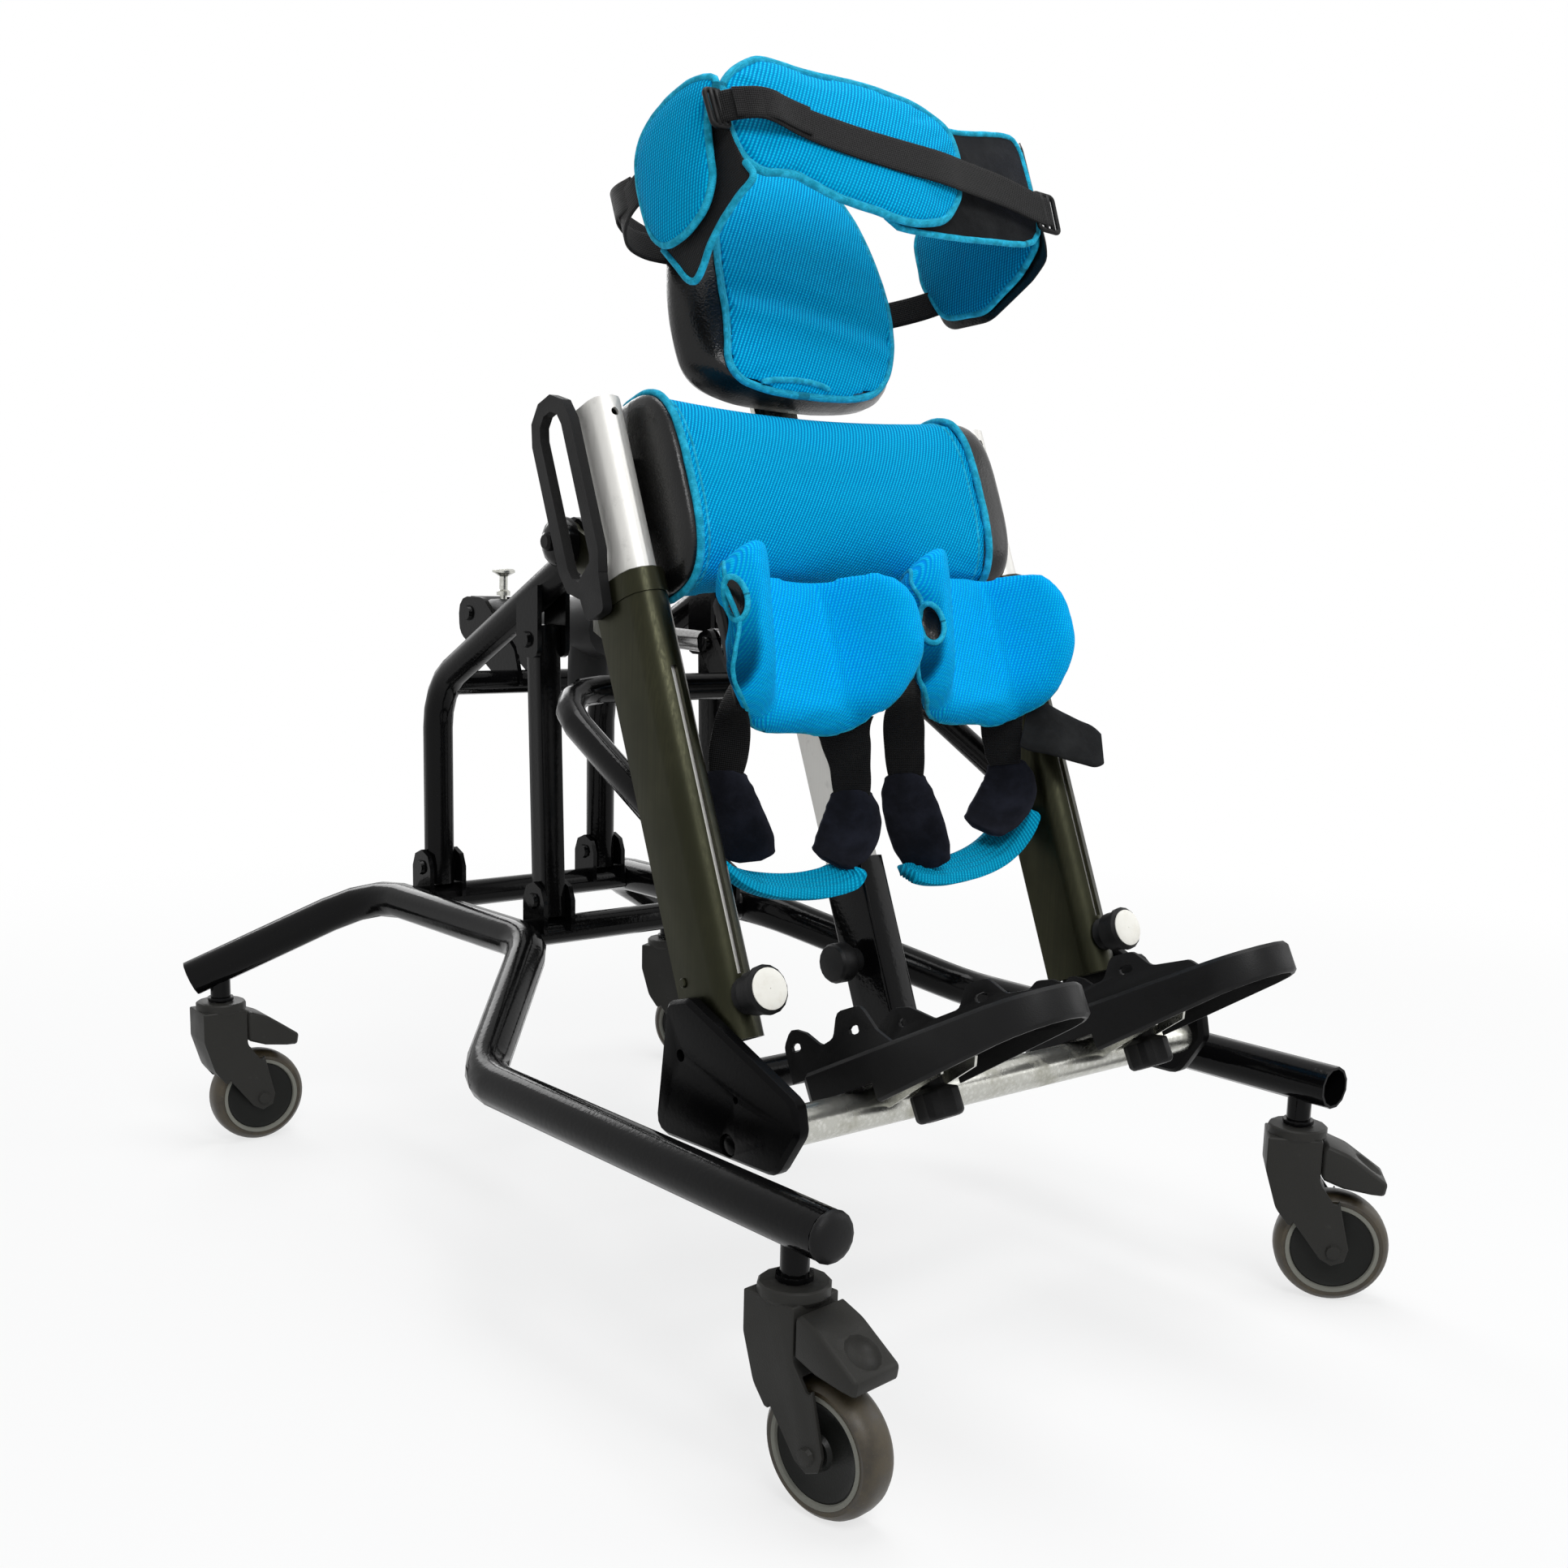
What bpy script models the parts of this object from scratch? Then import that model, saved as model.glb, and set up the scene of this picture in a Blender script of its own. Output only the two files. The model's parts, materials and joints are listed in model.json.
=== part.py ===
"""Pediatric standing frame: tube base on four braked castors, rear support frame,
tilting telescopic main frame, padded supports, knee column and sandals."""
import math

import bmesh
import bpy
from mathutils import Matrix, Vector

# Clearances and wall sizes, metres
GAP = 0.0003            # between parts that touch
RUN = 0.0008            # running clearance round pins and between sliding parts
TUBE_WALL = 0.002

# Castors
WHEEL_D = 0.100
WHEEL_W = 0.032
HUB_D = 0.074
TRAIL = 0.036           # axle behind the swivel axis
DISC_TOP = 0.1585       # top of the swivel disc above the floor
DISC_D = 0.052
DISC_H = 0.009
FORK_W = 0.046
FORK_WALL = 0.0055
AXLE_D = 0.009
PEDAL_L = 0.058
PEDAL_W = 0.046
PEDAL_T = 0.012
STEM_D = 0.021
STEM_H = 0.0225         # seen between the disc and the rail
HEADINGS = {"front_left": -83.5, "front_right": -50.7, "rear_left": -3.3, "rear_right": -62.0}   # trail, degrees

# Base rails; y is measured from the front ends while modelling
RAIL_D = 0.038
TRACK = 0.588
RAIL_Z = DISC_TOP + STEM_H + RAIL_D / 2
FRONT_LEG = 0.448       # front end to the bend
MID_X = 0.150           # raised middle, from the centre line
MID_Z = 0.274
MID_START = 0.600
MID_END = 0.915
REAR_X = 0.325
REAR_Y = 1.000
BEND_R = 0.065
STEM_INSET = 0.034      # castor stem from the rail's end
REAR_Z = 0.184
REAR_R = 0.085
REAR_INSET = 0.0323     # rear castor stem from the rail's end, along the rail
CROSS_D = 0.028
FRONT_CROSS_Y = 0.640
REAR_CROSS_Y = 0.858

# Rear support frame
LEG_D = 0.032
LEG_X = 0.104
LEG_BEND_Z = 0.500
LEG_BEND_R = 0.070
TIE_D = 0.025
TIE_DROP = 0.004        # tie tube above the legs' bend point
PROP_W = 0.025
PIN_D = 0.010
CLEVIS_T = 0.005
CLEVIS_H = 0.048
CLEVIS_W = 0.038

# Tilting frame; x across, v back and w up along the posts, all from the pivot axis
LEAN = math.radians(21.8)
PIVOT_Y = 0.565
PIVOT_Z = 0.652
HUB_HALF = 0.022        # half the hub housing's length along the pivot
HUB_OD = 0.046
PIVOT_D = 0.014
ARM_T = 0.006
ARM_W = 0.034
ARM_GAP = 0.001         # each side of the arm, between hub and cap
ARM_X = LEG_X + HUB_HALF + ARM_GAP + ARM_T / 2
POST_X = 0.209
POST_A = 0.037          # post width across the frame
POST_B = 0.066          # post depth
POST_WALL = 0.0035
POST_V = -0.182
POST_TOP = -0.105
POST_FOOT = -0.484
COLLAR_H = 0.020
COLLAR_LIP = 0.0012
INNER_TOP = 0.040
INNER_FOOT = -0.470
SLOT_W = 0.006
SLOT_TOP = -0.187
SLOT_FOOT = -0.434
KNOB_W = -0.452
KNOB_D = 0.039
KNOB_L = 0.030
PLATE_T = 0.015
LOOP_L = 0.170
LOOP_A = 0.060
LOOP_BAR = 0.0135
LOOP_T = 0.009
LOOP_V = -0.158
LOOP_W = -0.026
STAY_D = 0.025
STAY_V = -0.033
STAY_W = -0.150
STAY_R = 0.055
LUG_V = -0.020          # actuator rod pivot
LUG_W = -0.105

# Knee column
COLUMN_A = 0.030
COLUMN_B = 0.052
COLUMN_WALL = 0.003
COLUMN_V = -0.134
COLUMN_TOP = -0.345
CROSS_V = -0.140        # lower cross tube that carries the column
CROSS_W = -0.512
KNEE_BAR_W = -0.190
KNEE_BAR_V = -0.173
KNEE_PIN = 0.015        # hinge pin in front of the bar
CUP_X = 0.099
CUP_A = 0.170
CUP_H = 0.138
CUP_W = -0.197
CUP_V = -0.212
CUP_T = 0.026
CUP_CURVE = 7.0         # forward curl of the sides, per metre

# Feet
FOOT_TUBE_D = 0.030
FOOT_V = -0.257
FOOT_W = -0.556
FOOT_TIP = math.radians(5.0)    # heel raised
SANDAL_X = 0.124
SANDAL_L = 0.271
SANDAL_A = 0.096
SANDAL_TOE = 0.066
DECK_Z = 0.040          # upper face above the foot tube's centre
DECK_T = 0.005
SOLE_TOE_Z = -0.008     # lower edge of the side wall at the toe and at the heel
SOLE_HEEL_Z = 0.0150
SOLE_WALL = 0.005
SLIDE_REACH = 0.010
TURN_REACH = math.radians(10.0)
BRACKET_T = 0.004
SLIDER_T = 0.003
FOOT_KNOB_Y = -0.048

# Pads
PELVIC_A = 0.376
PELVIC_H = 0.165
PELVIC_W = -0.040
PELVIC_BACK = -0.185
PELVIC_T = 0.048
BOARD_T = 0.008
BAR_T = 0.008
CHEST_W = 0.152
CHEST_BACK = -0.1905
CHEST_T = 0.030
CHEST_SHELL_T = 0.022
WING_X = 0.168
WING_T = 0.012
BELT_V = -0.366
BELT_T = 0.012
WEB_T = 0.0025
WEB_W = 0.024

# Actuator
ANCHOR_Y = 0.930
ANCHOR_Z = 0.575
ROD_D = 0.020
EYE_PLAY = 0.0019       # round the lug pin, in the rod's eye
ROD_TIP = 0.166         # inner end of the rod from the rear hinge, frame at rest
ROD_TRAVEL = 0.030      # in or out from rest


def clear_scene():
    for obj in list(bpy.data.objects):
        bpy.data.objects.remove(obj)


def paint(name, colour, roughness, metallic=0.0):
    mat = bpy.data.materials.new(name)
    mat.use_nodes = True
    shader = mat.node_tree.nodes["Principled BSDF"]
    shader.inputs["Base Color"].default_value = (*colour, 1.0)
    shader.inputs["Roughness"].default_value = roughness
    shader.inputs["Metallic"].default_value = metallic
    mat.diffuse_color = (*colour, 1.0)
    return mat


def empty(name, location, parent=None, rotation=(0.0, 0.0, 0.0)):
    obj = bpy.data.objects.new(name, None)
    obj.location = location
    obj.rotation_euler = rotation
    obj.parent = parent
    bpy.context.collection.objects.link(obj)
    return obj


def solid(name, verts, faces, mat, parent=None, location=(0, 0, 0), sharp=35.0):
    """One mesh object from points and faces, normals out, round faces smooth."""
    mesh = bpy.data.meshes.new(name)
    mesh.from_pydata([tuple(v) for v in verts], [], faces)
    work = bmesh.new()
    work.from_mesh(mesh)
    bmesh.ops.remove_doubles(work, verts=work.verts, dist=1e-6)
    bmesh.ops.recalc_face_normals(work, faces=work.faces)
    work.to_mesh(mesh)
    work.free()
    mesh.shade_smooth()
    mesh.set_sharp_from_angle(angle=math.radians(sharp))
    obj = bpy.data.objects.new(name, mesh)
    obj.location = location
    obj.parent = parent
    if mat is not None:
        mesh.materials.append(mat)
    bpy.context.collection.objects.link(obj)
    return obj


def guide(obj):
    """Mark an object as a cutter or a welded shape, which is not a part."""
    obj.hide_render = True
    obj.display_type = "WIRE"
    return obj


def boolean(obj, other, operation):
    mod = obj.modifiers.new(operation.lower(), "BOOLEAN")
    mod.operation = operation
    mod.object = guide(other)
    mod.solver = "EXACT"
    return obj


def cut(obj, *others):
    for other in others:
        boolean(obj, other, "DIFFERENCE")
    return obj


def weld(obj, *others):
    for other in others:
        boolean(obj, other, "UNION")
    return obj


def arc_points(centre, radius, start, end, steps):
    points = []
    for i in range(steps + 1):
        a = start + (end - start) * i / steps
        points.append((centre[0] + radius * math.cos(a), centre[1] + radius * math.sin(a)))
    return points


def rounded(corners, radius, steps=3):
    """A closed outline with its corners rounded; radius may be one per corner."""
    radii = radius if isinstance(radius, (list, tuple)) else [radius] * len(corners)
    out = []
    count = len(corners)
    for i, corner in enumerate(corners):
        here = Vector(corner)
        before = (Vector(corners[i - 1]) - here)
        after = (Vector(corners[(i + 1) % count]) - here)
        if radii[i] < 1e-6:
            out.append(tuple(here))
            continue
        half = before.angle(after) / 2
        reach = min(radii[i] / math.tan(half), 0.49 * before.length, 0.49 * after.length)
        r = reach * math.tan(half)
        bisector = (before.normalized() + after.normalized()).normalized()
        centre = here + bisector * (r / math.sin(half))
        a = here + before.normalized() * reach - centre
        b = here + after.normalized() * reach - centre
        sweep = a.angle(b)
        turn = 1.0 if a.x * b.y - a.y * b.x > 0 else -1.0
        for k in range(steps + 1):
            t = turn * sweep * k / steps
            c, s = math.cos(t), math.sin(t)
            out.append((centre.x + a.x * c - a.y * s, centre.y + a.x * s + a.y * c))
    return out


def rectangle(a, b, radius=0.0, steps=3, centre=(0.0, 0.0)):
    x, y = centre
    corners = [(x - a / 2, y - b / 2), (x + a / 2, y - b / 2), (x + a / 2, y + b / 2), (x - a / 2, y + b / 2)]
    return rounded(corners, radius, steps)


def stadium(length, width, steps=6, centre=(0.0, 0.0)):
    """Long round-ended outline, its length along the second axis."""
    r = width / 2
    h = length / 2 - r
    top = arc_points((centre[0], centre[1] + h), r, 0.0, math.pi, steps)
    low = arc_points((centre[0], centre[1] - h), r, math.pi, 2 * math.pi, steps)
    return top + low


PLANES = {
    "x": lambda a, b, c: (c, a, b),
    "y": lambda a, b, c: (a, c, b),
    "z": lambda a, b, c: (a, b, c),
}


def prism(name, outline, low, high, mat=None, axis="z", **place):
    """An outline extruded along one axis; for x the outline is (y, z), for y it is (x, z)."""
    put = PLANES[axis]
    n = len(outline)
    verts = [put(a, b, low) for a, b in outline] + [put(a, b, high) for a, b in outline]
    faces = [tuple(range(n)), tuple(range(n, 2 * n))]
    faces += [(i, (i + 1) % n, n + (i + 1) % n, n + i) for i in range(n)]
    return solid(name, verts, faces, mat, **place)


def hollow_prism(name, outer, inner, low, high, mat=None, axis="z", **place):
    """Extruded wall between two outlines with the same number of points."""
    put = PLANES[axis]
    n = len(outer)
    verts = []
    for outline, level in ((outer, low), (outer, high), (inner, high), (inner, low)):
        verts += [put(a, b, level) for a, b in outline]
    faces = []
    for ring in range(4):
        nxt = (ring + 1) % 4
        faces += [(ring * n + i, ring * n + (i + 1) % n, nxt * n + (i + 1) % n, nxt * n + i) for i in range(n)]
    return solid(name, verts, faces, mat, **place)


def turned(name, profile, mat=None, axis="z", steps=16, **place):
    """A solid of revolution; the profile lists (radius, height) from one end to the other."""
    put = PLANES[axis]
    verts = []
    rings = []
    for radius, height in profile:
        if radius < 1e-7:
            rings.append([len(verts)])
            verts.append(put(0.0, 0.0, height))
            continue
        rings.append(list(range(len(verts), len(verts) + steps)))
        for i in range(steps):
            a = 2 * math.pi * i / steps
            verts.append(put(radius * math.cos(a), radius * math.sin(a), height))
    faces = []
    for low, high in zip(rings, rings[1:]):
        for i in range(steps):
            j = (i + 1) % steps
            if len(low) == 1:
                faces.append((low[0], high[j], high[i]))
            elif len(high) == 1:
                faces.append((low[i], low[j], high[0]))
            else:
                faces.append((low[i], low[j], high[j], high[i]))
    if len(rings[0]) > 1:
        faces.append(tuple(rings[0]))
    if len(rings[-1]) > 1:
        faces.append(tuple(rings[-1]))
    return solid(name, verts, faces, mat, **place)


def rod(name, diameter, low, high, axis="x", mat=None, steps=14, **place):
    return turned(name, [(diameter / 2, low), (diameter / 2, high)], mat, axis, steps, **place)


def bend_path(corners, radius, steps=4):
    """Centre line through the corners with a round bend at each inner one."""
    points = [Vector(corners[0])]
    radii = radius if isinstance(radius, (list, tuple)) else [radius] * (len(corners) - 2)
    for i in range(1, len(corners) - 1):
        here = Vector(corners[i])
        before = (Vector(corners[i - 1]) - here).normalized()
        after = (Vector(corners[i + 1]) - here).normalized()
        half = before.angle(after) / 2
        reach = radii[i - 1] / math.tan(half)
        centre = here + (before + after).normalized() * (radii[i - 1] / math.sin(half))
        a = here + before * reach - centre
        b = here + after * reach - centre
        spin = a.cross(b).normalized()
        for k in range(steps + 1):
            turn = Matrix.Rotation(a.angle(b) * k / steps, 3, spin)
            points.append(centre + turn @ a)
    points.append(Vector(corners[-1]))
    return points


PLAIN_END = ((0.0, 1.0),)


def capped_end(radius):
    """A plug with a groove and a domed face: (distance out, share of the radius)."""
    r = radius
    return ((0.0, 1.0), (0.0, 1 - 0.0012 / r), (0.0008, 1 - 0.0012 / r), (0.0008, 1.0 - 0.0002 / r),
            (0.0030, 1.0 - 0.0002 / r), (0.0052, 1 - 0.0022 / r), (0.0064, 1 - 0.0060 / r))


def open_end(radius, wall, depth):
    return ((0.0, 1.0), (0.0, 1 - wall / radius), (-depth, 1 - wall / radius))


def tube(name, path, diameter, mat=None, steps=12, start=PLAIN_END, end=PLAIN_END, up=(0, 0, 1), **place):
    """Round tube along a path, with shaped ends."""
    radius = diameter / 2
    verts = []
    rings = []

    def ring(centre, tangent, normal, scale):
        side = tangent.cross(normal).normalized()
        first = len(verts)
        for i in range(steps):
            a = 2 * math.pi * (i + 0.5) / steps
            verts.append(centre + (side * math.cos(a) + normal * math.sin(a)) * radius * scale)
        rings.append(range(first, first + steps))

    tangents = []
    for i, point in enumerate(path):
        ahead = path[i + 1] - point if i + 1 < len(path) else point - path[i - 1]
        behind = point - path[i - 1] if i else ahead
        tangents.append((ahead.normalized() + behind.normalized()).normalized())
    normal = Vector(up)
    normal = (normal - tangents[0] * normal.dot(tangents[0])).normalized()
    for distance, scale in reversed(start):
        ring(path[0] - tangents[0] * distance, tangents[0], normal, scale)
    for i in range(1, len(path) - 1):
        turn = tangents[i - 1].rotation_difference(tangents[i])
        normal = (turn @ normal).normalized()
        ring(path[i], tangents[i], normal, 1.0)
    normal = (tangents[-2].rotation_difference(tangents[-1]) @ normal).normalized()
    for distance, scale in end:
        ring(path[-1] + tangents[-1] * distance, tangents[-1], normal, scale)
    faces = []
    for low, high in zip(rings, rings[1:]):
        for i in range(steps):
            j = (i + 1) % steps
            faces.append((low[i], low[j], high[j], high[i]))
    faces.append(tuple(rings[0]))
    faces.append(tuple(rings[-1]))
    return solid(name, verts, faces, mat, **place)


def loft(name, rings, mat=None, closed=False, **place):
    """Skin over rings that have the same number of points, capped unless closed."""
    n = len(rings[0])
    verts = [point for ring in rings for point in ring]
    faces = []
    pairs = list(zip(range(len(rings)), range(1, len(rings))))
    if closed:
        pairs.append((len(rings) - 1, 0))
    for low, high in pairs:
        for i in range(n):
            j = (i + 1) % n
            faces.append((low * n + i, low * n + j, high * n + j, high * n + i))
    if not closed:
        faces.append(tuple(range(n)))
        faces.append(tuple(range((len(rings) - 1) * n, len(rings) * n)))
    return solid(name, verts, faces, mat, **place)


def pad(name, outline, levels, mat=None, axis="y", warp=None, sharp=50.0, **place):
    """A padded shape: the outline shrunk toward its middle by each level's inset, at each level's
    height. An inset of None at either end closes the shape on its middle point."""
    put = PLANES[axis]
    n = len(outline)
    ca = sum(a for a, b in outline) / n
    cb = sum(b for a, b in outline) / n
    reach = min(math.hypot(a - ca, b - cb) for a, b in outline)
    verts = []
    rings = []
    for inset, height in levels:
        share = 0.0 if inset is None else 1.0 - inset / reach
        first = len(verts)
        count = 1 if inset is None else n
        for i in range(count):
            a = ca + (outline[i][0] - ca) * share
            b = cb + (outline[i][1] - cb) * share
            h = height + (warp(a, b) if warp else 0.0)
            verts.append(put(a, b, h))
        rings.append(range(first, first + count))
    faces = []
    for low, high in zip(rings, rings[1:]):
        for i in range(n):
            j = (i + 1) % n
            if len(low) == 1:
                faces.append((low[0], high[i], high[j]))
            elif len(high) == 1:
                faces.append((low[i], low[j], high[0]))
            else:
                faces.append((low[i], low[j], high[j], high[i]))
    for ring in (rings[0], rings[-1]):
        if len(ring) > 1:
            faces.append(tuple(ring))
    return solid(name, verts, faces, mat, sharp=sharp, **place)


def ring_turned(name, profile, mat=None, axis="y", steps=32, **place):
    """A ring turned from a closed (radius, height) outline."""
    put = PLANES[axis]
    rings = []
    for i in range(steps):
        a = 2 * math.pi * i / steps
        rings.append([put(r * math.cos(a), r * math.sin(a), h) for r, h in profile])
    return loft(name, rings, mat, closed=True, **place)


def box(name, size, centre, mat=None, **place):
    a, b, c = (s / 2 for s in size)
    x, y, z = centre
    outline = [(x - a, y - b), (x + a, y - b), (x + a, y + b), (x - a, y + b)]
    return prism(name, outline, z - c, z + c, mat, "z", **place)


def bevel(obj, width, segments=2, angle=50.0):
    mod = obj.modifiers.new("edges", "BEVEL")
    mod.width = width
    mod.segments = segments
    mod.limit_method = "ANGLE"
    mod.angle_limit = math.radians(angle)
    mod.harden_normals = True
    return obj


def bolt(name, size, length, centre, axis="x", head=None, mat=None, **place):
    """Bolt with a low round head at both ends, centred on its middle."""
    head = head or size * 1.7
    h = length / 2
    k = size * 0.42
    r = head / 2
    h -= 2 * GAP
    profile = [(r * 0.85, -h - k), (r, -h), (size / 2, -h), (size / 2, h), (r, h), (r * 0.85, h + k)]
    return turned(name, profile, mat, axis, 10, location=centre, **place)


# Castors

def fork_outline():
    tip = arc_points((TRAIL, WHEEL_D / 2), 0.0135, math.radians(215), math.radians(372), 3)
    sides = rounded([(-0.0265, 0.1505), (-0.0265, 0.120), (-0.016, 0.086), (0.006, 0.058)],
                    [0.0, 0.012, 0.02, 0.02], 2)
    front = rounded([(0.045, 0.078), (0.0205, 0.112), (0.0205, 0.1505)], [0.015, 0.010, 0.0], 2)
    return sides + tip + front


def caster(tag, x, y, heading, mats, root):
    swivel = empty("swivel_" + tag, (x, y, 0.0), root, (0.0, 0.0, math.radians(heading)))
    fork = prism("caster_fork_" + tag, fork_outline(), -FORK_W / 2, FORK_W / 2, mats["plastic"], "y",
                 parent=swivel)
    room = rod("wheel_room_" + tag, WHEEL_D + 0.008, -WHEEL_W / 2 - 0.0025, WHEEL_W / 2 + 0.0025, "y",
               steps=16, location=(TRAIL, 0, WHEEL_D / 2), parent=swivel)
    cut(fork, room)
    bevel(fork, 0.003, 1, 60)
    disc = turned("swivel_disc_" + tag, [
        (DISC_D / 2 - 0.004, DISC_TOP - DISC_H - 0.004), (DISC_D / 2, DISC_TOP - DISC_H + 0.001),
        (DISC_D / 2, DISC_TOP - 0.0015), (DISC_D / 2 - 0.0015, DISC_TOP)],
        steps=14, parent=swivel)
    axle = bolt("axle_" + tag, AXLE_D, FORK_W, (TRAIL, 0, WHEEL_D / 2), "y", 0.014, parent=swivel)
    weld(fork, disc, axle)
    cut(fork, rod("stem_bore_" + tag, STEM_D / 2 + 2 * RUN, DISC_TOP - 0.030, DISC_TOP + 0.01, "z",
                  parent=swivel))
    r = WHEEL_D / 2
    h = WHEEL_W / 2
    bore = AXLE_D / 2 + RUN / 2
    hub = HUB_D / 2
    profile = [(bore, -h), (0.013, -h), (0.015, -h + 0.004), (hub, -h + 0.0032), (hub + 0.001, -h + 0.001),
               (r - 0.004, -h + 0.003), (r, -h + 0.010)]
    profile += [(a, -b) for a, b in reversed(profile)]
    wheel = empty("axle_line_" + tag, (TRAIL, 0, WHEEL_D / 2), swivel)
    ring_turned("caster_wheel_" + tag, profile, mats["tyre"], "y", 24, parent=wheel)
    hinge = empty("pedal_hinge_" + tag, (PEDAL_X, 0, PEDAL_Z), swivel)
    brake_pedal(tag, mats, hinge)
    return swivel


PEDAL_X = 0.0245
PEDAL_Z = 0.119


def brake_pedal(tag, mats, hinge):
    top = rounded([(-0.0030, 0.0295), (0.020, 0.0205), (0.0535, -0.003), (0.0515, -0.0145), (0.040, -0.0140),
                   (0.016, -0.0105), (-0.0030, -0.0035)],
                  [0.004, 0.03, 0.004, 0.003, 0.01, 0.006, 0.0], 2)
    pedal = prism("brake_pedal_" + tag, top, -PEDAL_W / 2, PEDAL_W / 2, mats["plastic"], "y", parent=hinge)
    bevel(pedal, 0.0025, 1)
    dimple = turned("pedal_dimple_" + tag, [(0.0, -0.030), (0.008, -0.0285), (0.0135, -0.025), (0.016, -0.020),
                                            (0.016, 0.0), (0.0, 0.0)],
                    steps=12, location=(0.052, 0, 0.026), parent=hinge)
    dimple.rotation_euler = (0.0, math.radians(35.0), 0.0)
    cut(pedal, dimple)
    return pedal


# Base

def rail_path(side):
    return bend_path([(side * TRACK / 2, 0, RAIL_Z), (side * TRACK / 2, FRONT_LEG, RAIL_Z),
                      (side * MID_X, MID_START, MID_Z), (side * MID_X, MID_END, MID_Z),
                      (side * REAR_X, REAR_Y, REAR_Z)], [BEND_R, BEND_R, REAR_R], 3)


def rear_stem():
    """Place of the rear castor stem, under the last leg of the rail."""
    end = Vector((REAR_X, REAR_Y, REAR_Z))
    back = Vector((MID_X, MID_END, MID_Z)) - end
    return end + back.normalized() * REAR_INSET


def stem(tag, x, y, root):
    profile = [(STEM_D / 4, DISC_TOP - 0.029), (STEM_D / 4, DISC_TOP + 0.0012), (STEM_D / 2 + 0.003, DISC_TOP + 0.0012),
               (STEM_D / 2 + 0.003, DISC_TOP + 0.005), (STEM_D / 2, DISC_TOP + 0.005), (STEM_D / 2, DISC_TOP + 0.030)]
    return turned("stem_" + tag, profile, steps=12, location=(x, y, 0), parent=root)


def rail(side, mats, root):
    tag = "left" if side < 0 else "right"
    hollow = open_end(RAIL_D / 2, 0.0025, 0.020)
    obj = tube("rail_" + tag, rail_path(side), RAIL_D, mats["black"], 12, hollow, hollow, parent=root)
    front = stem("front_" + tag, side * TRACK / 2, STEM_INSET, root)
    at = rear_stem()
    rear = stem("rear_" + tag, side * at.x, at.y, root)
    return weld(obj, front, rear)


def end_cap(mats, root):
    r = RAIL_D / 2
    profile = [(r - 0.0042, 0.018), (r - 0.0042, -GAP), (r, -GAP), (r, -0.0030), (r - 0.0018, -0.0055),
               (r - 0.006, -0.0075), (r - 0.012, -0.0086), (0.0, -0.0090)]
    return turned("rail_end_cap", profile, mats["plastic"], "y", 18, location=(-TRACK / 2, 0, RAIL_Z), parent=root)


def clevis_plates(tag, x, y, low, high, spread, root, width=CLEVIS_W):
    """Two upright plates either side of a leg, round at the top."""
    plates = []
    middle = width / 2
    outline = [(y - middle, low), (y + middle, low)] + arc_points((y, high - middle), middle, 0.0, math.pi, 4)
    for hand in (-1, 1):
        a = x + hand * spread
        b = x + hand * (spread + CLEVIS_T)
        plates.append(prism("clevis_%s_%d" % (tag, hand + 1), outline, min(a, b), max(a, b), axis="x", parent=root))
    return plates


def cross_tube(name, y, spread, pin_z, mats, root):
    """Tube between the rails, coped at both ends, with a pinned clevis for each leg above it."""
    obj = rod(name, CROSS_D, -MID_X, MID_X, "x", mats["black"], 14, location=(0, y, MID_Z), parent=root)
    for hand in (-1, 1):
        x = hand * LEG_X
        tag = "%s_%d" % (name, hand + 1)
        plates = clevis_plates(tag, x, y, MID_Z + 0.0013, pin_z + 0.019, spread, root)
        pin = bolt("pin_" + tag, PIN_D, 2 * (spread + CLEVIS_T), (x, y, pin_z), "x", 0.017, parent=root)
        weld(obj, *plates, pin)
    return cut(obj, *[rod("cope_%s_%d" % (name, hand + 1), RAIL_D + 2 * GAP, y - 0.04, y + 0.04, "y", steps=20,
                          location=(hand * MID_X, 0, MID_Z), parent=root) for hand in (-1, 1)])


PROP_PIN_Z = 0.306
LEG_PIN_Z = 0.308
PROP_Y = 0.645
PROP_TOP_Y = 0.6515
PROP_TOP_Z = 0.560
LEG_FOOT_Z = MID_Z + CROSS_D / 2 + 0.002
LEG_SPREAD = LEG_D / 2 + RUN
PROP_SPREAD = PROP_W / 2 + RUN


def prop(side, mats, root):
    """Square strut from the front cross tube's clevis to the bracket under the leg."""
    tag = "left" if side < 0 else "right"
    h = PROP_W / 2
    outline = rectangle(PROP_W, PROP_W, 0.003, 2)
    rings = []
    for y, z in ((FRONT_CROSS_Y, LEG_FOOT_Z), (PROP_TOP_Y, PROP_TOP_Z + 0.014)):
        rings.append([(side * LEG_X + a, y + b, z) for a, b in outline])
    obj = loft("prop_" + tag, rings, mats["black"], parent=root)
    for y, z in ((FRONT_CROSS_Y, PROP_PIN_Z), (PROP_TOP_Y, PROP_TOP_Z)):
        cut(obj, rod("prop_bore_%s_%d" % (tag, int(z * 1000)), PIN_D + 2 * GAP, -h - 0.01, h + 0.01, "x", steps=12,
                     location=(side * LEG_X, y, z), parent=root))
    return obj


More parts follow.
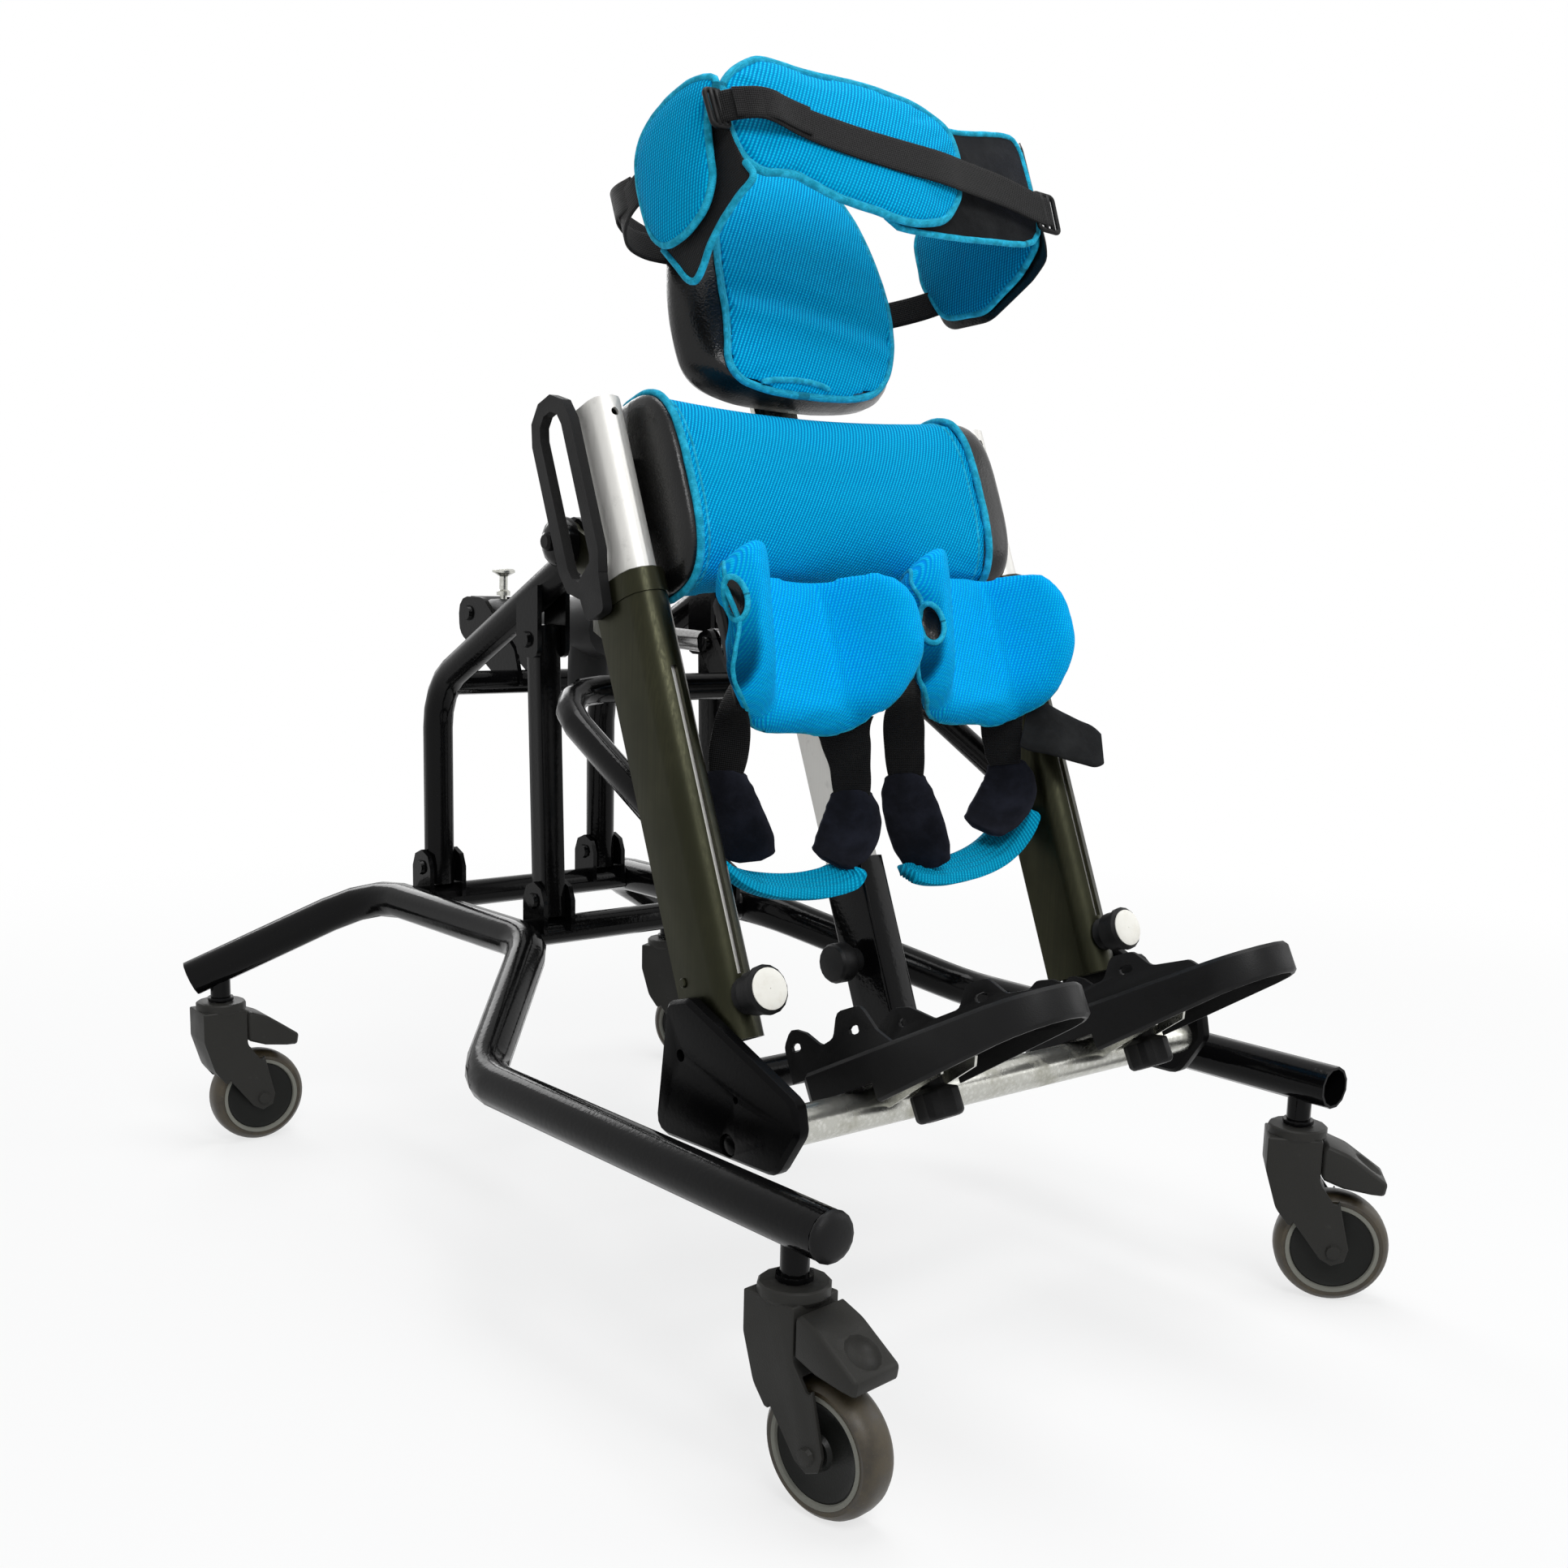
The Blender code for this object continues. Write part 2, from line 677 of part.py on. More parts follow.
def rear_frame(mats, root):
    """Bent legs, tie tube, prop brackets, pivot hubs and the actuator's rear bracket, welded."""
    parts = []
    for side in (-1, 1):
        tag = "left" if side < 0 else "right"
        x = side * LEG_X
        path = bend_path([(x, REAR_CROSS_Y, LEG_FOOT_Z), (x, REAR_CROSS_Y, LEG_BEND_Z), (x, PIVOT_Y, PIVOT_Z)],
                         LEG_BEND_R, 4)
        path[-1] = path[-2] + (path[-1] - path[-2]) * 0.97
        name = "rear_frame" if side < 0 else "leg_right"
        leg = tube(name, path, LEG_D, mats["black"], 12, up=(1, 0, 0), parent=root)
        cut(leg, rod("leg_bore_" + tag, PIN_D + 2 * GAP, -0.03, 0.03, "x", steps=12,
                     location=(x, REAR_CROSS_Y, LEG_PIN_Z), parent=root))
        outer = x + side * HUB_HALF
        r = HUB_OD / 2
        p = PIVOT_D / 2
        face = ARM_T + 2 * ARM_GAP
        cap = [(0.0, -HUB_HALF * 2), (r, -HUB_HALF * 2), (r, 0.0), (p, 0.0), (p, face), (r, face),
               (r, face + 0.009), (r - 0.003, face + 0.014), (r - 0.010, face + 0.0175),
               (0.0085, face + 0.0175), (0.0085, face + 0.022), (0.006, face + 0.024), (0.0, face + 0.024)]
        hub = turned("hub_" + tag, [(radius, side * height) for radius, height in cap], None, "x", 16,
                     location=(outer, PIVOT_Y, PIVOT_Z), parent=root)
        bracket_parts = prop_bracket(tag, x, root)
        parts.append((leg, hub, bracket_parts))
    frame = parts[0][0]
    weld(frame, parts[0][1], *parts[0][2])
    right = parts[1][0]
    weld(right, parts[1][1], *parts[1][2])
    tie = rod("tie", TIE_D, -LEG_X, LEG_X, "x", steps=12, location=(0, TIE_Y, TIE_Z), parent=root)
    weld(frame, tie, right, *anchor_bracket(root))
    return frame


TIE_Y = 0.838
TIE_Z = 0.505
ANCHOR_SPREAD = 0.0195


def prop_bracket(tag, x, root):
    low = PROP_TOP_Z - 0.017
    outline = rounded([(PROP_TOP_Y - 0.019, low), (PROP_TOP_Y + 0.019, low), (PROP_TOP_Y + 0.019, 0.598),
                       (PROP_TOP_Y - 0.019, 0.612)], [0.008, 0.008, 0.0, 0.0], 2)
    plates = []
    for hand in (-1, 1):
        a = x + hand * PROP_SPREAD
        b = x + hand * (PROP_SPREAD + CLEVIS_T)
        plates.append(prism("bracket_%s_%d" % (tag, hand + 1), outline, min(a, b), max(a, b), axis="x", parent=root))
    plates.append(bolt("bracket_pin_" + tag, PIN_D, 2 * (PROP_SPREAD + CLEVIS_T), (x, PROP_TOP_Y, PROP_TOP_Z), "x",
                       0.017, parent=root))
    return plates


def anchor_bracket(root):
    """Two plates from the tie tube back and up to the actuator's rear pin."""
    outline = rounded([(TIE_Y - 0.016, TIE_Z - 0.004), (TIE_Y + 0.018, TIE_Z - 0.006), (ANCHOR_Y + 0.020, ANCHOR_Z - 0.022),
                       (ANCHOR_Y + 0.022, ANCHOR_Z + 0.018), (ANCHOR_Y - 0.030, ANCHOR_Z + 0.018), (TIE_Y - 0.004, TIE_Z + 0.034)],
                      [0.004, 0.01, 0.018, 0.018, 0.02, 0.01], 3)
    plates = []
    for hand in (-1, 1):
        a = hand * ANCHOR_SPREAD
        b = hand * (ANCHOR_SPREAD + CLEVIS_T)
        plates.append(prism("anchor_%d" % (hand + 1), outline, min(a, b), max(a, b), axis="x", parent=root))
    plates.append(bolt("anchor_pin", PIN_D, 2 * (ANCHOR_SPREAD + CLEVIS_T), (0, ANCHOR_Y, ANCHOR_Z), "x", 0.018,
                       parent=root))
    return plates


# Actuator

def actuator(mats, root, tilt):
    """Linear actuator from the anchor bracket to the lug on the stay tube; built along +X."""
    c, s = math.cos(LEAN), math.sin(LEAN)
    lug_y = PIVOT_Y + LUG_V * c + LUG_W * s
    lug_z = PIVOT_Z - LUG_V * s + LUG_W * c
    reach = math.hypot(lug_y - ANCHOR_Y, lug_z - ANCHOR_Z)
    slope = math.atan2(ANCHOR_Z - lug_z, ANCHOR_Y - lug_y)
    hinge = empty("actuator_hinge", (0, ANCHOR_Y, ANCHOR_Z), root, (slope, 0.0, 0.0))
    # along the actuator is -Y of the hinge
    eye = hollow_prism("actuator_body", arc_points((0, 0), 0.019, 0, 2 * math.pi, 14)[:-1],
                       arc_points((0, 0), PIN_D / 2 + RUN / 2, 0, 2 * math.pi, 14)[:-1],
                       -ANCHOR_SPREAD + RUN, ANCHOR_SPREAD - RUN, mats["dark"], "x", parent=hinge)
    barrel = turned("barrel", [(0.0165, -0.012), (0.018, -0.030), (0.018, -0.150), (0.0225, -0.158), (0.029, -0.172),
                               (0.031, -0.190), (0.031, -0.228), (0.028, -0.244), (0.021, -0.250), (0.0165, -0.252)],
                    axis="y", steps=14, parent=hinge)
    motor = turned("motor", [(0.0, -0.080), (0.016, -0.080), (0.0215, -0.076), (0.023, -0.070), (0.023, 0.0),
                             (0.0, 0.0)], axis="z", steps=14, location=(0, -0.206, 0.010), parent=hinge)
    weld(eye, barrel, motor)
    cut(eye, rod("eye_bore", PIN_D + RUN, -0.03, 0.03, "x", steps=18, parent=hinge))
    bore_end = ROD_TIP - ROD_TRAVEL - 0.004
    cut(eye, rod("rod_bore", ROD_D + RUN, -0.26, -bore_end, "y", steps=16, parent=hinge))
    cut(eye, rod("release_bore", 0.0088, 0.004, 0.05, "z", steps=12, location=(0, -0.033, 0), parent=hinge))
    slide = empty("rod_slide", (0, -reach, 0), hinge)
    end = hollow_prism("actuator_rod", arc_points((0, 0), 0.0145, 0, 2 * math.pi, 18)[:-1],
                       arc_points((0, 0), PIN_D / 2 + EYE_PLAY, 0, 2 * math.pi, 18)[:-1], -0.009, 0.009,
                       mats["chrome"], "x", parent=slide)
    bar = turned("bar", [(ROD_D / 2 - 0.002, 0.0105), (ROD_D / 2, 0.018), (ROD_D / 2, reach - ROD_TIP)], axis="y",
                 steps=14, parent=slide)
    weld(end, bar)
    pin_seat = empty("release_seat", (0, -0.033, 0.0), hinge)
    turned("release_pin", [(0.004, 0.006), (0.004, 0.0215), (0.0075, 0.0215), (0.0075, 0.026), (0.0045, 0.028),
                           (0.0045, 0.042), (0.0085, 0.0445), (0.0125, 0.0465), (0.0125, 0.049), (0.010, 0.0505)],
           mats["zinc"], "z", 14, parent=pin_seat)
    return hinge, slide, pin_seat


# Tilting frame

def d_outline(a, b, radius, steps=6):
    """Post section: flat back and sides, round front toward -v."""
    front = b / 2 - a / 2
    nose = arc_points((0.0, -front), a / 2, math.pi, 2 * math.pi, steps)
    back = arc_points((a / 2 - radius, b / 2 - radius), radius, 0, math.pi / 2, 1)
    back += arc_points((-a / 2 + radius, b / 2 - radius), radius, math.pi / 2, math.pi, 1)
    return nose + back


def shifted(outline, a, b):
    return [(x + a, y + b) for x, y in outline]


def arm(side, tilt):
    """Flat bar from the pivot hub forward and down to the post's inner face."""
    tag = "left" if side < 0 else "right"
    lean = math.radians(45.0)
    down = Vector((0, -math.cos(lean), -math.sin(lean)))
    across = Vector((0, -math.sin(lean), math.cos(lean)))
    inner = POST_X - POST_A / 2 - ARM_T / 2 + 0.001
    path = [(ARM_X, 0.0), (ARM_X, 0.052), (inner, 0.150), (inner, 0.232)]
    line = [Vector((side * x, 0, 0)) + down * d for x, d in path]
    sheet = []
    for i, point in enumerate(line):
        a = (line[i] - line[i - 1]).normalized() if i else (line[1] - line[0]).normalized()
        b = (line[i + 1] - line[i]).normalized() if i + 1 < len(line) else a
        mean = (a + b).normalized()
        thick = across.cross(mean).normalized() * (ARM_T / 2 / max(0.5, mean.dot(a)))
        wide = across * (ARM_W / 2)
        sheet.append([point - wide - thick, point + wide - thick, point + wide + thick, point - wide + thick])
    bar = loft("arm_bar_" + tag, sheet, parent=tilt)
    eye = rod("arm_eye_" + tag, ARM_W + 0.004, ARM_X - ARM_T / 2, ARM_X + ARM_T / 2, "x", steps=20, parent=tilt)
    if side < 0:
        eye.scale = (-1.0, 1.0, 1.0)
    return bar, eye


def post_outer(side, mats, tilt):
    tag = "left" if side < 0 else "right"
    x = side * POST_X
    outer = shifted(d_outline(POST_A, POST_B, 0.004), x, POST_V)
    inner = shifted(d_outline(POST_A - 2 * POST_WALL, POST_B - 2 * POST_WALL, 0.002), x, POST_V)
    collar = shifted(d_outline(POST_A + 2 * COLLAR_LIP, POST_B + 2 * COLLAR_LIP, 0.004), x, POST_V)
    put = PLANES["z"]
    rings = []
    for outline, level in ((inner, POST_FOOT), (outer, POST_FOOT), (outer, POST_TOP - COLLAR_H), (collar, POST_TOP - COLLAR_H),
                           (collar, POST_TOP - 0.001), (outer, POST_TOP), (inner, POST_TOP)):
        rings.append([put(a, b, level) for a, b in outline])
    post = loft("post_outer_" + tag, rings, mats["post"], closed=True, parent=tilt)
    front = POST_V - POST_B / 2
    cut(post, box("post_slot_" + tag, (SLOT_W, 0.012, SLOT_TOP - SLOT_FOOT), (x, front, (SLOT_TOP + SLOT_FOOT) / 2),
                  parent=tilt))
    cut(post, rod("knob_hole_" + tag, 0.0085, front - 0.01, front + 0.01, "y", steps=12, location=(x, 0, KNOB_W),
                  parent=tilt))
    bar, eye = arm(side, tilt)
    weld(post, bar, eye)
    cut(post, rod("arm_bore_" + tag, PIVOT_D + 2 * RUN, -0.02, 0.02, "x", steps=18, location=(side * ARM_X, 0, 0),
                  parent=tilt))
    dot = turned("post_screw_" + tag, [(0.004, -0.002), (0.004, 0.0012), (0.003, 0.002)], None, "x", 12,
                 location=(x + side * POST_A / 2, POST_V + 0.018, -0.430), parent=tilt)
    if side < 0:
        dot.scale = (-1.0, 1.0, 1.0)
    return weld(post, dot)


def post_inner(side, mats, lift):
    tag = "left" if side < 0 else "right"
    x = side * POST_X
    slack = 2 * (POST_WALL + RUN)
    outer = shifted(d_outline(POST_A - slack, POST_B - slack, 0.002), x, POST_V)
    hollow = shifted(d_outline(POST_A - slack - 0.005, POST_B - slack - 0.005, 0.001), x, POST_V)
    put = PLANES["z"]
    rings = [[put(a, b, level) for a, b in outline] for outline, level in
             ((outer, INNER_TOP), (outer, INNER_FOOT), (hollow, INNER_FOOT), (hollow, INNER_TOP - 0.004))]
    post = loft("post_inner_" + tag, rings, mats["silver"], parent=lift)
    front = POST_V - POST_B / 2
    return cut(post, rod("top_hole_" + tag, 0.007, front - 0.01, front + 0.012, "y", steps=10,
                         location=(x, 0, INNER_TOP - 0.014), parent=lift))


def post_knob(side, mats, tilt):
    tag = "left" if side < 0 else "right"
    seat = empty("post_knob_seat_" + tag, (side * POST_X, POST_V - POST_B / 2, KNOB_W), tilt)
    r = KNOB_D / 2
    profile = [(0.0035, 0.0034), (0.0035, -GAP), (0.015, -GAP), (0.012, -0.006), (0.0175, -0.010),
               (0.0175, -0.0222), (r, -0.0235), (r, -0.0270), (r - 0.002, -0.0290), (r - 0.008, -KNOB_L),
               (0.0, -KNOB_L)]
    turned("post_knob_" + tag, profile, mats["white"], "y", 16, parent=seat)
    return seat


PLATE_OUTLINE = [(-0.156, -0.441), (-0.183, -0.444), (-0.285, -0.540), (-0.281, -0.564), (-0.243, -0.590),
                 (-0.103, -0.537)]


def side_plate(side, mats, tilt):
    tag = "left" if side < 0 else "right"
    inner = POST_X + POST_A / 2 + GAP
    outline = rounded(PLATE_OUTLINE, [0.010, 0.010, 0.012, 0.012, 0.018, 0.014], 3)
    low, high = sorted((side * inner, side * (inner + PLATE_T)))
    plate = prism("side_plate_" + tag, outline, low, high, mats["plastic"], "x", parent=tilt)
    bevel(plate, 0.0035, 1)
    face = side * (inner + PLATE_T)
    for i, (v, w, size) in enumerate(((-0.161, -0.485, 0.010), (-0.218, -0.528, 0.006))):
        cut(plate, rod("plate_hole_%s_%d" % (tag, i), size, face - 0.006, face + 0.006, "x", steps=12,
                       location=(0, v, w), parent=tilt))
    at = (0, -0.196, -0.560)
    cut(plate, rod("plate_counterbore_" + tag, 0.019, face - 0.005, face + 0.005, "x", steps=14, location=at,
                   parent=tilt))
    head = turned("plate_bolt_" + tag, [(0.008, -0.008), (0.008, -0.0022), (0.0055, -0.0010)], None, "x", 12,
                  location=(face, at[1], at[2]), parent=tilt)
    if side < 0:
        head.scale = (-1.0, 1.0, 1.0)
    return weld(plate, head)


def strap_loop(side, mats, tilt):
    """Flat stadium loop beside the inner post, bolted to the outer post's upper end by a tab."""
    tag = "left" if side < 0 else "right"
    near = POST_X + POST_A / 2 + COLLAR_LIP + GAP
    low, high = sorted((side * near, side * (near + LOOP_T)))
    centre = (LOOP_V, LOOP_W)
    outer = shifted(stadium(LOOP_L, LOOP_A, 5), *centre)
    inner = shifted(stadium(LOOP_L - 2 * LOOP_BAR, LOOP_A - 2 * LOOP_BAR, 5), *centre)
    loop = hollow_prism("strap_loop_" + tag, outer, inner, low, high, mats["plastic"], "x", parent=tilt)
    tab = prism("loop_tab_" + tag, rounded([(LOOP_V - 0.026, -0.082), (LOOP_V + 0.010, -0.098),
                                            (LOOP_V + 0.006, -0.130), (LOOP_V - 0.020, -0.130)], 0.006, 3),
                low, high, axis="x", parent=tilt)
    return bevel(weld(loop, tab), 0.0022, 1)


def stay_tube(mats, tilt):
    """U-shaped brace behind the posts, with the actuator's lug."""
    back = POST_V + POST_B / 2
    x = POST_X
    foot = (-0.170, -0.316)
    path = bend_path([(-x, *foot), (-x, STAY_V, STAY_W), (x, STAY_V, STAY_W), (x, *foot)], STAY_R, 4)
    stay = tube("stay_tube", path, STAY_D, mats["black"], 12, up=(1, 0, 0), parent=tilt)
    cut(stay, box("stay_trim", (0.6, 0.05, 0.2), (0, back + GAP - 0.025, -0.30), parent=tilt))
    outline = rounded([(STAY_V - 0.011, STAY_W), (STAY_V + 0.011, STAY_W), (LUG_V + 0.0125, LUG_W),
                       (LUG_V + 0.010, LUG_W + 0.0125), (LUG_V - 0.010, LUG_W + 0.0125), (LUG_V - 0.0125, LUG_W)],
                      [0.0, 0.0, 0.004, 0.009, 0.009, 0.004], 3)
    for hand in (-1, 1):
        low, high = sorted((hand * 0.0115, hand * 0.0165))
        weld(stay, prism("lug_%d" % (hand + 1), outline, low, high, axis="x", parent=tilt))
    return weld(stay, bolt("lug_pin", PIN_D, 0.033, (0, LUG_V, LUG_W), "x", 0.016, parent=tilt))


def column_outer(mats, tilt):
    a, b = COLUMN_A / 2, COLUMN_B / 2
    wall = COLUMN_WALL
    outer = rectangle(COLUMN_A, COLUMN_B, 0.004, 3, (0, COLUMN_V))
    inner = rectangle(COLUMN_A - 2 * wall, COLUMN_B - 2 * wall, 0.002, 3, (0, COLUMN_V))
    put = PLANES["z"]
    foot = CROSS_W - 0.020
    rings = [[put(p, q, level) for p, q in outline] for outline, level in
             ((inner, foot + 0.003), (outer, foot), (outer, COLUMN_TOP - 0.001), (inner, COLUMN_TOP))]
    column = loft("knee_column_outer", rings, mats["black"], closed=True, parent=tilt)
    reach = POST_X + POST_A / 2
    cross = rod("lower_cross", CROSS_D, -reach, reach, "x", steps=14, location=(0, CROSS_V, CROSS_W), parent=tilt)
    weld(column, cross)
    return cut(column, rod("column_hole", 0.0085, -a - 0.01, -a + 0.01, "x", steps=12,
                           location=(0, COLUMN_KNOB_V, COLUMN_KNOB_W), parent=tilt))


COLUMN_KNOB_V = -0.128
COLUMN_KNOB_W = -0.431


def column_knob(mats, tilt):
    seat = empty("column_knob_seat", (-COLUMN_A / 2, COLUMN_KNOB_V, COLUMN_KNOB_W), tilt)
    turned("column_knob", [(0.0035, COLUMN_WALL), (0.0035, -GAP), (0.011, -GAP), (0.010, -0.008), (0.0165, -0.012),
                           (0.0175, -0.014), (0.0175, -0.026), (0.0155, -0.029), (0.0, -0.030)],
           mats["plastic"], "x", 18, parent=seat)
    return seat


# Feet

def foot_frame(hand, parent, tag):
    """Frame on the foot tube's centre under one foot: x across, y toward the toes, z up."""
    return empty("foot_frame_%s_%d" % (tag, hand + 1), (hand * SANDAL_X, FOOT_V, FOOT_W), parent, (-FOOT_TIP, 0, 0))


BRACKET_TOP = FOOT_TUBE_D / 2 + BRACKET_T
SLIDER_Z = BRACKET_TOP + GAP
SEAT_Z = SLIDER_Z + SLIDER_T + GAP


def foot_rail(mats, tilt):
    """Silver tube between the side plates, with a tilted slotted bracket and disc for each foot."""
    reach = POST_X + POST_A / 2
    rail_obj = rod("foot_rail", FOOT_TUBE_D, -reach, reach, "x", mats["zinc"], 16, location=(0, FOOT_V, FOOT_W),
                   parent=tilt)
    for hand in (-1, 1):
        frame = foot_frame(hand, tilt, "rail")
        tag = str(hand + 1)
        outline = rounded([(-0.019, -0.088), (0.019, -0.088), (0.019, 0.036), (-0.019, 0.036)], 0.006, 2)
        plate = prism("foot_bracket_" + tag, outline, BRACKET_TOP - BRACKET_T - 0.001, BRACKET_TOP, parent=frame)
        weld(rail_obj, plate)
        for k, x in enumerate((-0.0175, 0.0175)):
            outline = [(-0.086, BRACKET_TOP - 0.002), (-0.080, BRACKET_TOP - 0.012), (-0.012, -0.004),
                       (0.010, -0.004), (0.034, BRACKET_TOP - 0.002)]
            weld(rail_obj, prism("foot_cheek_%s_%d" % (tag, k), outline, x - 0.0013, x + 0.0013, axis="x", parent=frame))
        cut(rail_obj, prism("foot_bracket_slot_" + tag, stadium(2 * SLIDE_REACH + 0.010, 0.0082, 4, (0, FOOT_KNOB_Y)),
                            BRACKET_TOP - 0.012, BRACKET_TOP + 0.01, parent=frame))
    return rail_obj


def foot_slider(side, mats, tilt):
    tag = "left" if side < 0 else "right"
    frame = foot_frame(side, tilt, "slider")
    outline = rounded([(-0.017, -0.100), (0.017, -0.100), (0.017, 0.040), (-0.017, 0.040)], 0.005, 2)
    plate = prism("foot_slider_" + tag, outline, SLIDER_Z, SLIDER_Z + SLIDER_T, mats["zinc"], parent=frame)
    stud = turned("slider_stud_" + tag, [(0.0035, SLIDER_Z + 0.001), (0.0035, -0.004)], None, "z", 10,
                  location=(0, FOOT_KNOB_Y, 0), parent=frame)
    weld(plate, stud)
    for i, y in enumerate((-0.088, -0.074, 0.012, 0.026)):
        cut(plate, rod("slider_hole_%s_%d" % (tag, i), 0.0065, SLIDER_Z - 0.01, SLIDER_Z + 0.01, "z", steps=10,
                       location=(0, y, 0), parent=frame))
    return frame


def lobed(radius, lobes, depth, steps=48):
    points = []
    for i in range(steps):
        a = 2 * math.pi * i / steps
        r = radius - depth * (0.5 - 0.5 * math.cos(lobes * a)) ** 2
        points.append((r * math.cos(a), r * math.sin(a)))
    return points


def foot_knob(side, mats, frame):
    tag = "left" if side < 0 else "right"
    seat = empty("foot_knob_seat_" + tag, (0, FOOT_KNOB_Y, 0), frame)
    top = FOOT_TUBE_D / 2 - 0.001 - GAP
    big = lobed(0.0195, 5, 0.003, 20)
    neck = [(a * 0.50, b * 0.50) for a, b in big]
    bore = [(0.0035 + RUN / 2) / math.hypot(a, b) for a, b in big]
    hole = [(a * k, b * k) for (a, b), k in zip(big, bore)]
    put = PLANES["z"]
    rings = [[put(a, b, z) for a, b in ring] for ring, z in
             ((hole, top), (neck, top), (neck, top - 0.012), (big, top - 0.016), (big, top - 0.034),
              ([(a * 0.86, b * 0.86) for a, b in big], top - 0.037), (hole, top - 0.037))]
    loft("foot_knob_" + tag, rings, mats["plastic"], closed=True, parent=seat)
    return seat


def sole_outline(inset=0.0, steps=6):
    """Foot-shaped outline, toe toward +y."""
    toe = SANDAL_TOE - inset
    heel = SANDAL_TOE - SANDAL_L + inset
    a = SANDAL_A / 2 - inset
    points = arc_points((0.0, toe - a * 0.78), a, 0.08 * math.pi, 0.92 * math.pi, steps)
    points = [(x, toe - a * 0.78 + (y - toe + a * 0.78) * 0.78) for x, y in points]
    h = a * 0.90
    heel_arc = arc_points((0.0, heel + h), h, 1.02 * math.pi, 1.98 * math.pi, steps + 2)
    return points + [(-a * 0.95, -0.045)] + heel_arc + [(a * 0.95, -0.045)]


def sole_bottom(y):
    share = (SANDAL_TOE - y) / SANDAL_L
    return SOLE_TOE_Z + (SOLE_HEEL_Z - SOLE_TOE_Z) * share


def sandal(side, mats, frame):
    """Foot tray: wedge-shaped rim, hollow ribbed underside, low side walls with strap ears."""
    tag = "left" if side < 0 else "right"
    turn = empty("sandal_turn_" + tag, (0, 0, 0), frame)
    outline = sole_outline()
    shrink = sole_outline(0.0025)
    low = [[(a, b, sole_bottom(b) + lift) for a, b in ring] for ring, lift in ((shrink, 0.0), (outline, 0.0025))]
    high = [[(a, b, DECK_Z - drop) for a, b in ring] for ring, drop in ((outline, 0.003), (shrink, 0.0))]
    sole = loft("sandal_" + tag, low + high, mats["plastic"], parent=turn)
    cut(sole, prism("sandal_pocket_" + tag, sole_outline(SOLE_WALL), SOLE_TOE_Z - 0.01, DECK_Z - DECK_T, parent=turn))
    seat = box("sandal_seat_" + tag, (0.044, 0.150, DECK_Z - DECK_T - SEAT_Z + 0.001),
               (0, -0.032, (DECK_Z - DECK_T + SEAT_Z + 0.001) / 2), parent=turn)
    weld(sole, seat)
    turned_reach = (FOOT_TUBE_D / 2 + SLIDE_REACH + SANDAL_A / 2 * math.sin(TURN_REACH)) / math.cos(TURN_REACH)
    notch = 2 * (turned_reach + RUN)
    cut(sole, box("sandal_notch_" + tag, (SANDAL_A + 0.02, notch, 0.04), (0, 0, FOOT_TUBE_D / 2 + RUN - 0.02),
                  parent=turn))
    heel = SANDAL_TOE - SANDAL_L
    for i in range(5):
        y = heel + 0.018 + 0.015 * i
        half = (SANDAL_A / 2 * 0.9 - SOLE_WALL * 0.6) * min(1.0, 0.66 + 0.15 * i)
        base = SOLE_HEEL_Z + 0.004
        weld(sole, box("sandal_rib_%s_%d" % (tag, i), (2 * half, 0.0022, DECK_Z - DECK_T - base + 0.001),
                       (0, y, (DECK_Z - DECK_T + 0.001 + base) / 2), parent=turn))
    for hand in (-1, 1):
        outer = hand == side
        weld(sole, wing(tag, hand, outer, turn))
        for cutter in wing_holes(tag, hand, outer, turn):
            cut(sole, cutter)
    return turn


# Side walls of the sandals: (y, height above the deck) along the top, outer and inner side
WING_OUTER = [(0.062, -0.004), (0.060, 0.026), (0.046, 0.038), (0.030, 0.030), (0.016, 0.016), (0.000, 0.018),
              (-0.012, 0.036), (-0.040, 0.034), (-0.050, 0.012), (-0.066, -0.004)]
WING_INNER = [(0.055, -0.004), (0.040, 0.022), (0.012, 0.034), (-0.006, 0.030), (-0.030, 0.014), (-0.060, 0.014),
              (-0.074, 0.030), (-0.098, 0.028), (-0.112, 0.012), (-0.150, 0.006), (-0.160, -0.004)]
WING_SLOTS = {True: ((-0.026, 0.018, 0.013), (0.046, 0.022, 0.012)), False: ((-0.086, 0.016, 0.015), (0.006, 0.020, 0.010))}


def wing(tag, hand, outer, turn):
    line = WING_OUTER if outer else WING_INNER
    radii = [0.0] + [0.009] * (len(line) - 2) + [0.0]
    outline = rounded([(y, DECK_Z + z) for y, z in line], radii, 2)
    x = hand * (SANDAL_A / 2 - 0.007)
    low, high = sorted((x, x - hand * 0.003))
    return prism("sandal_wing_%s_%d" % (tag, hand + 1), outline, low, high, axis="x", parent=turn)


def wing_holes(tag, hand, outer, turn):
    x = hand * (SANDAL_A / 2 - 0.0085)
    holes = []
    for i, (y, z, length) in enumerate(WING_SLOTS[outer]):
        slot = [(b + y, a + DECK_Z + z) for a, b in stadium(length, 0.0065, 3)]
        holes.append(prism("wing_hole_%s_%d_%d" % (tag, hand + 1, i), slot, x - 0.006, x + 0.006, axis="x", parent=turn))
    return holes


# Pads and harness

def cushion_levels(thick, crown, edge=0.010, seam=0.0016):
    """Inset and height from the back: round edge, drawn-in seam, crowned front."""
    t = thick
    return [(edge * 0.5, 0.0), (0.0, t * 0.25), (0.0, t * 0.52), (seam, t * 0.60), (0.0, t * 0.68),
            (edge * 0.25, t * 0.86), (edge, t * 0.97), (edge * 3.0, t + crown * 0.6), (None, t + crown)]


def pelvic_outline(a, h, corner=0.030):
    return rectangle(a, h, corner, 5, (0.0, PELVIC_W))


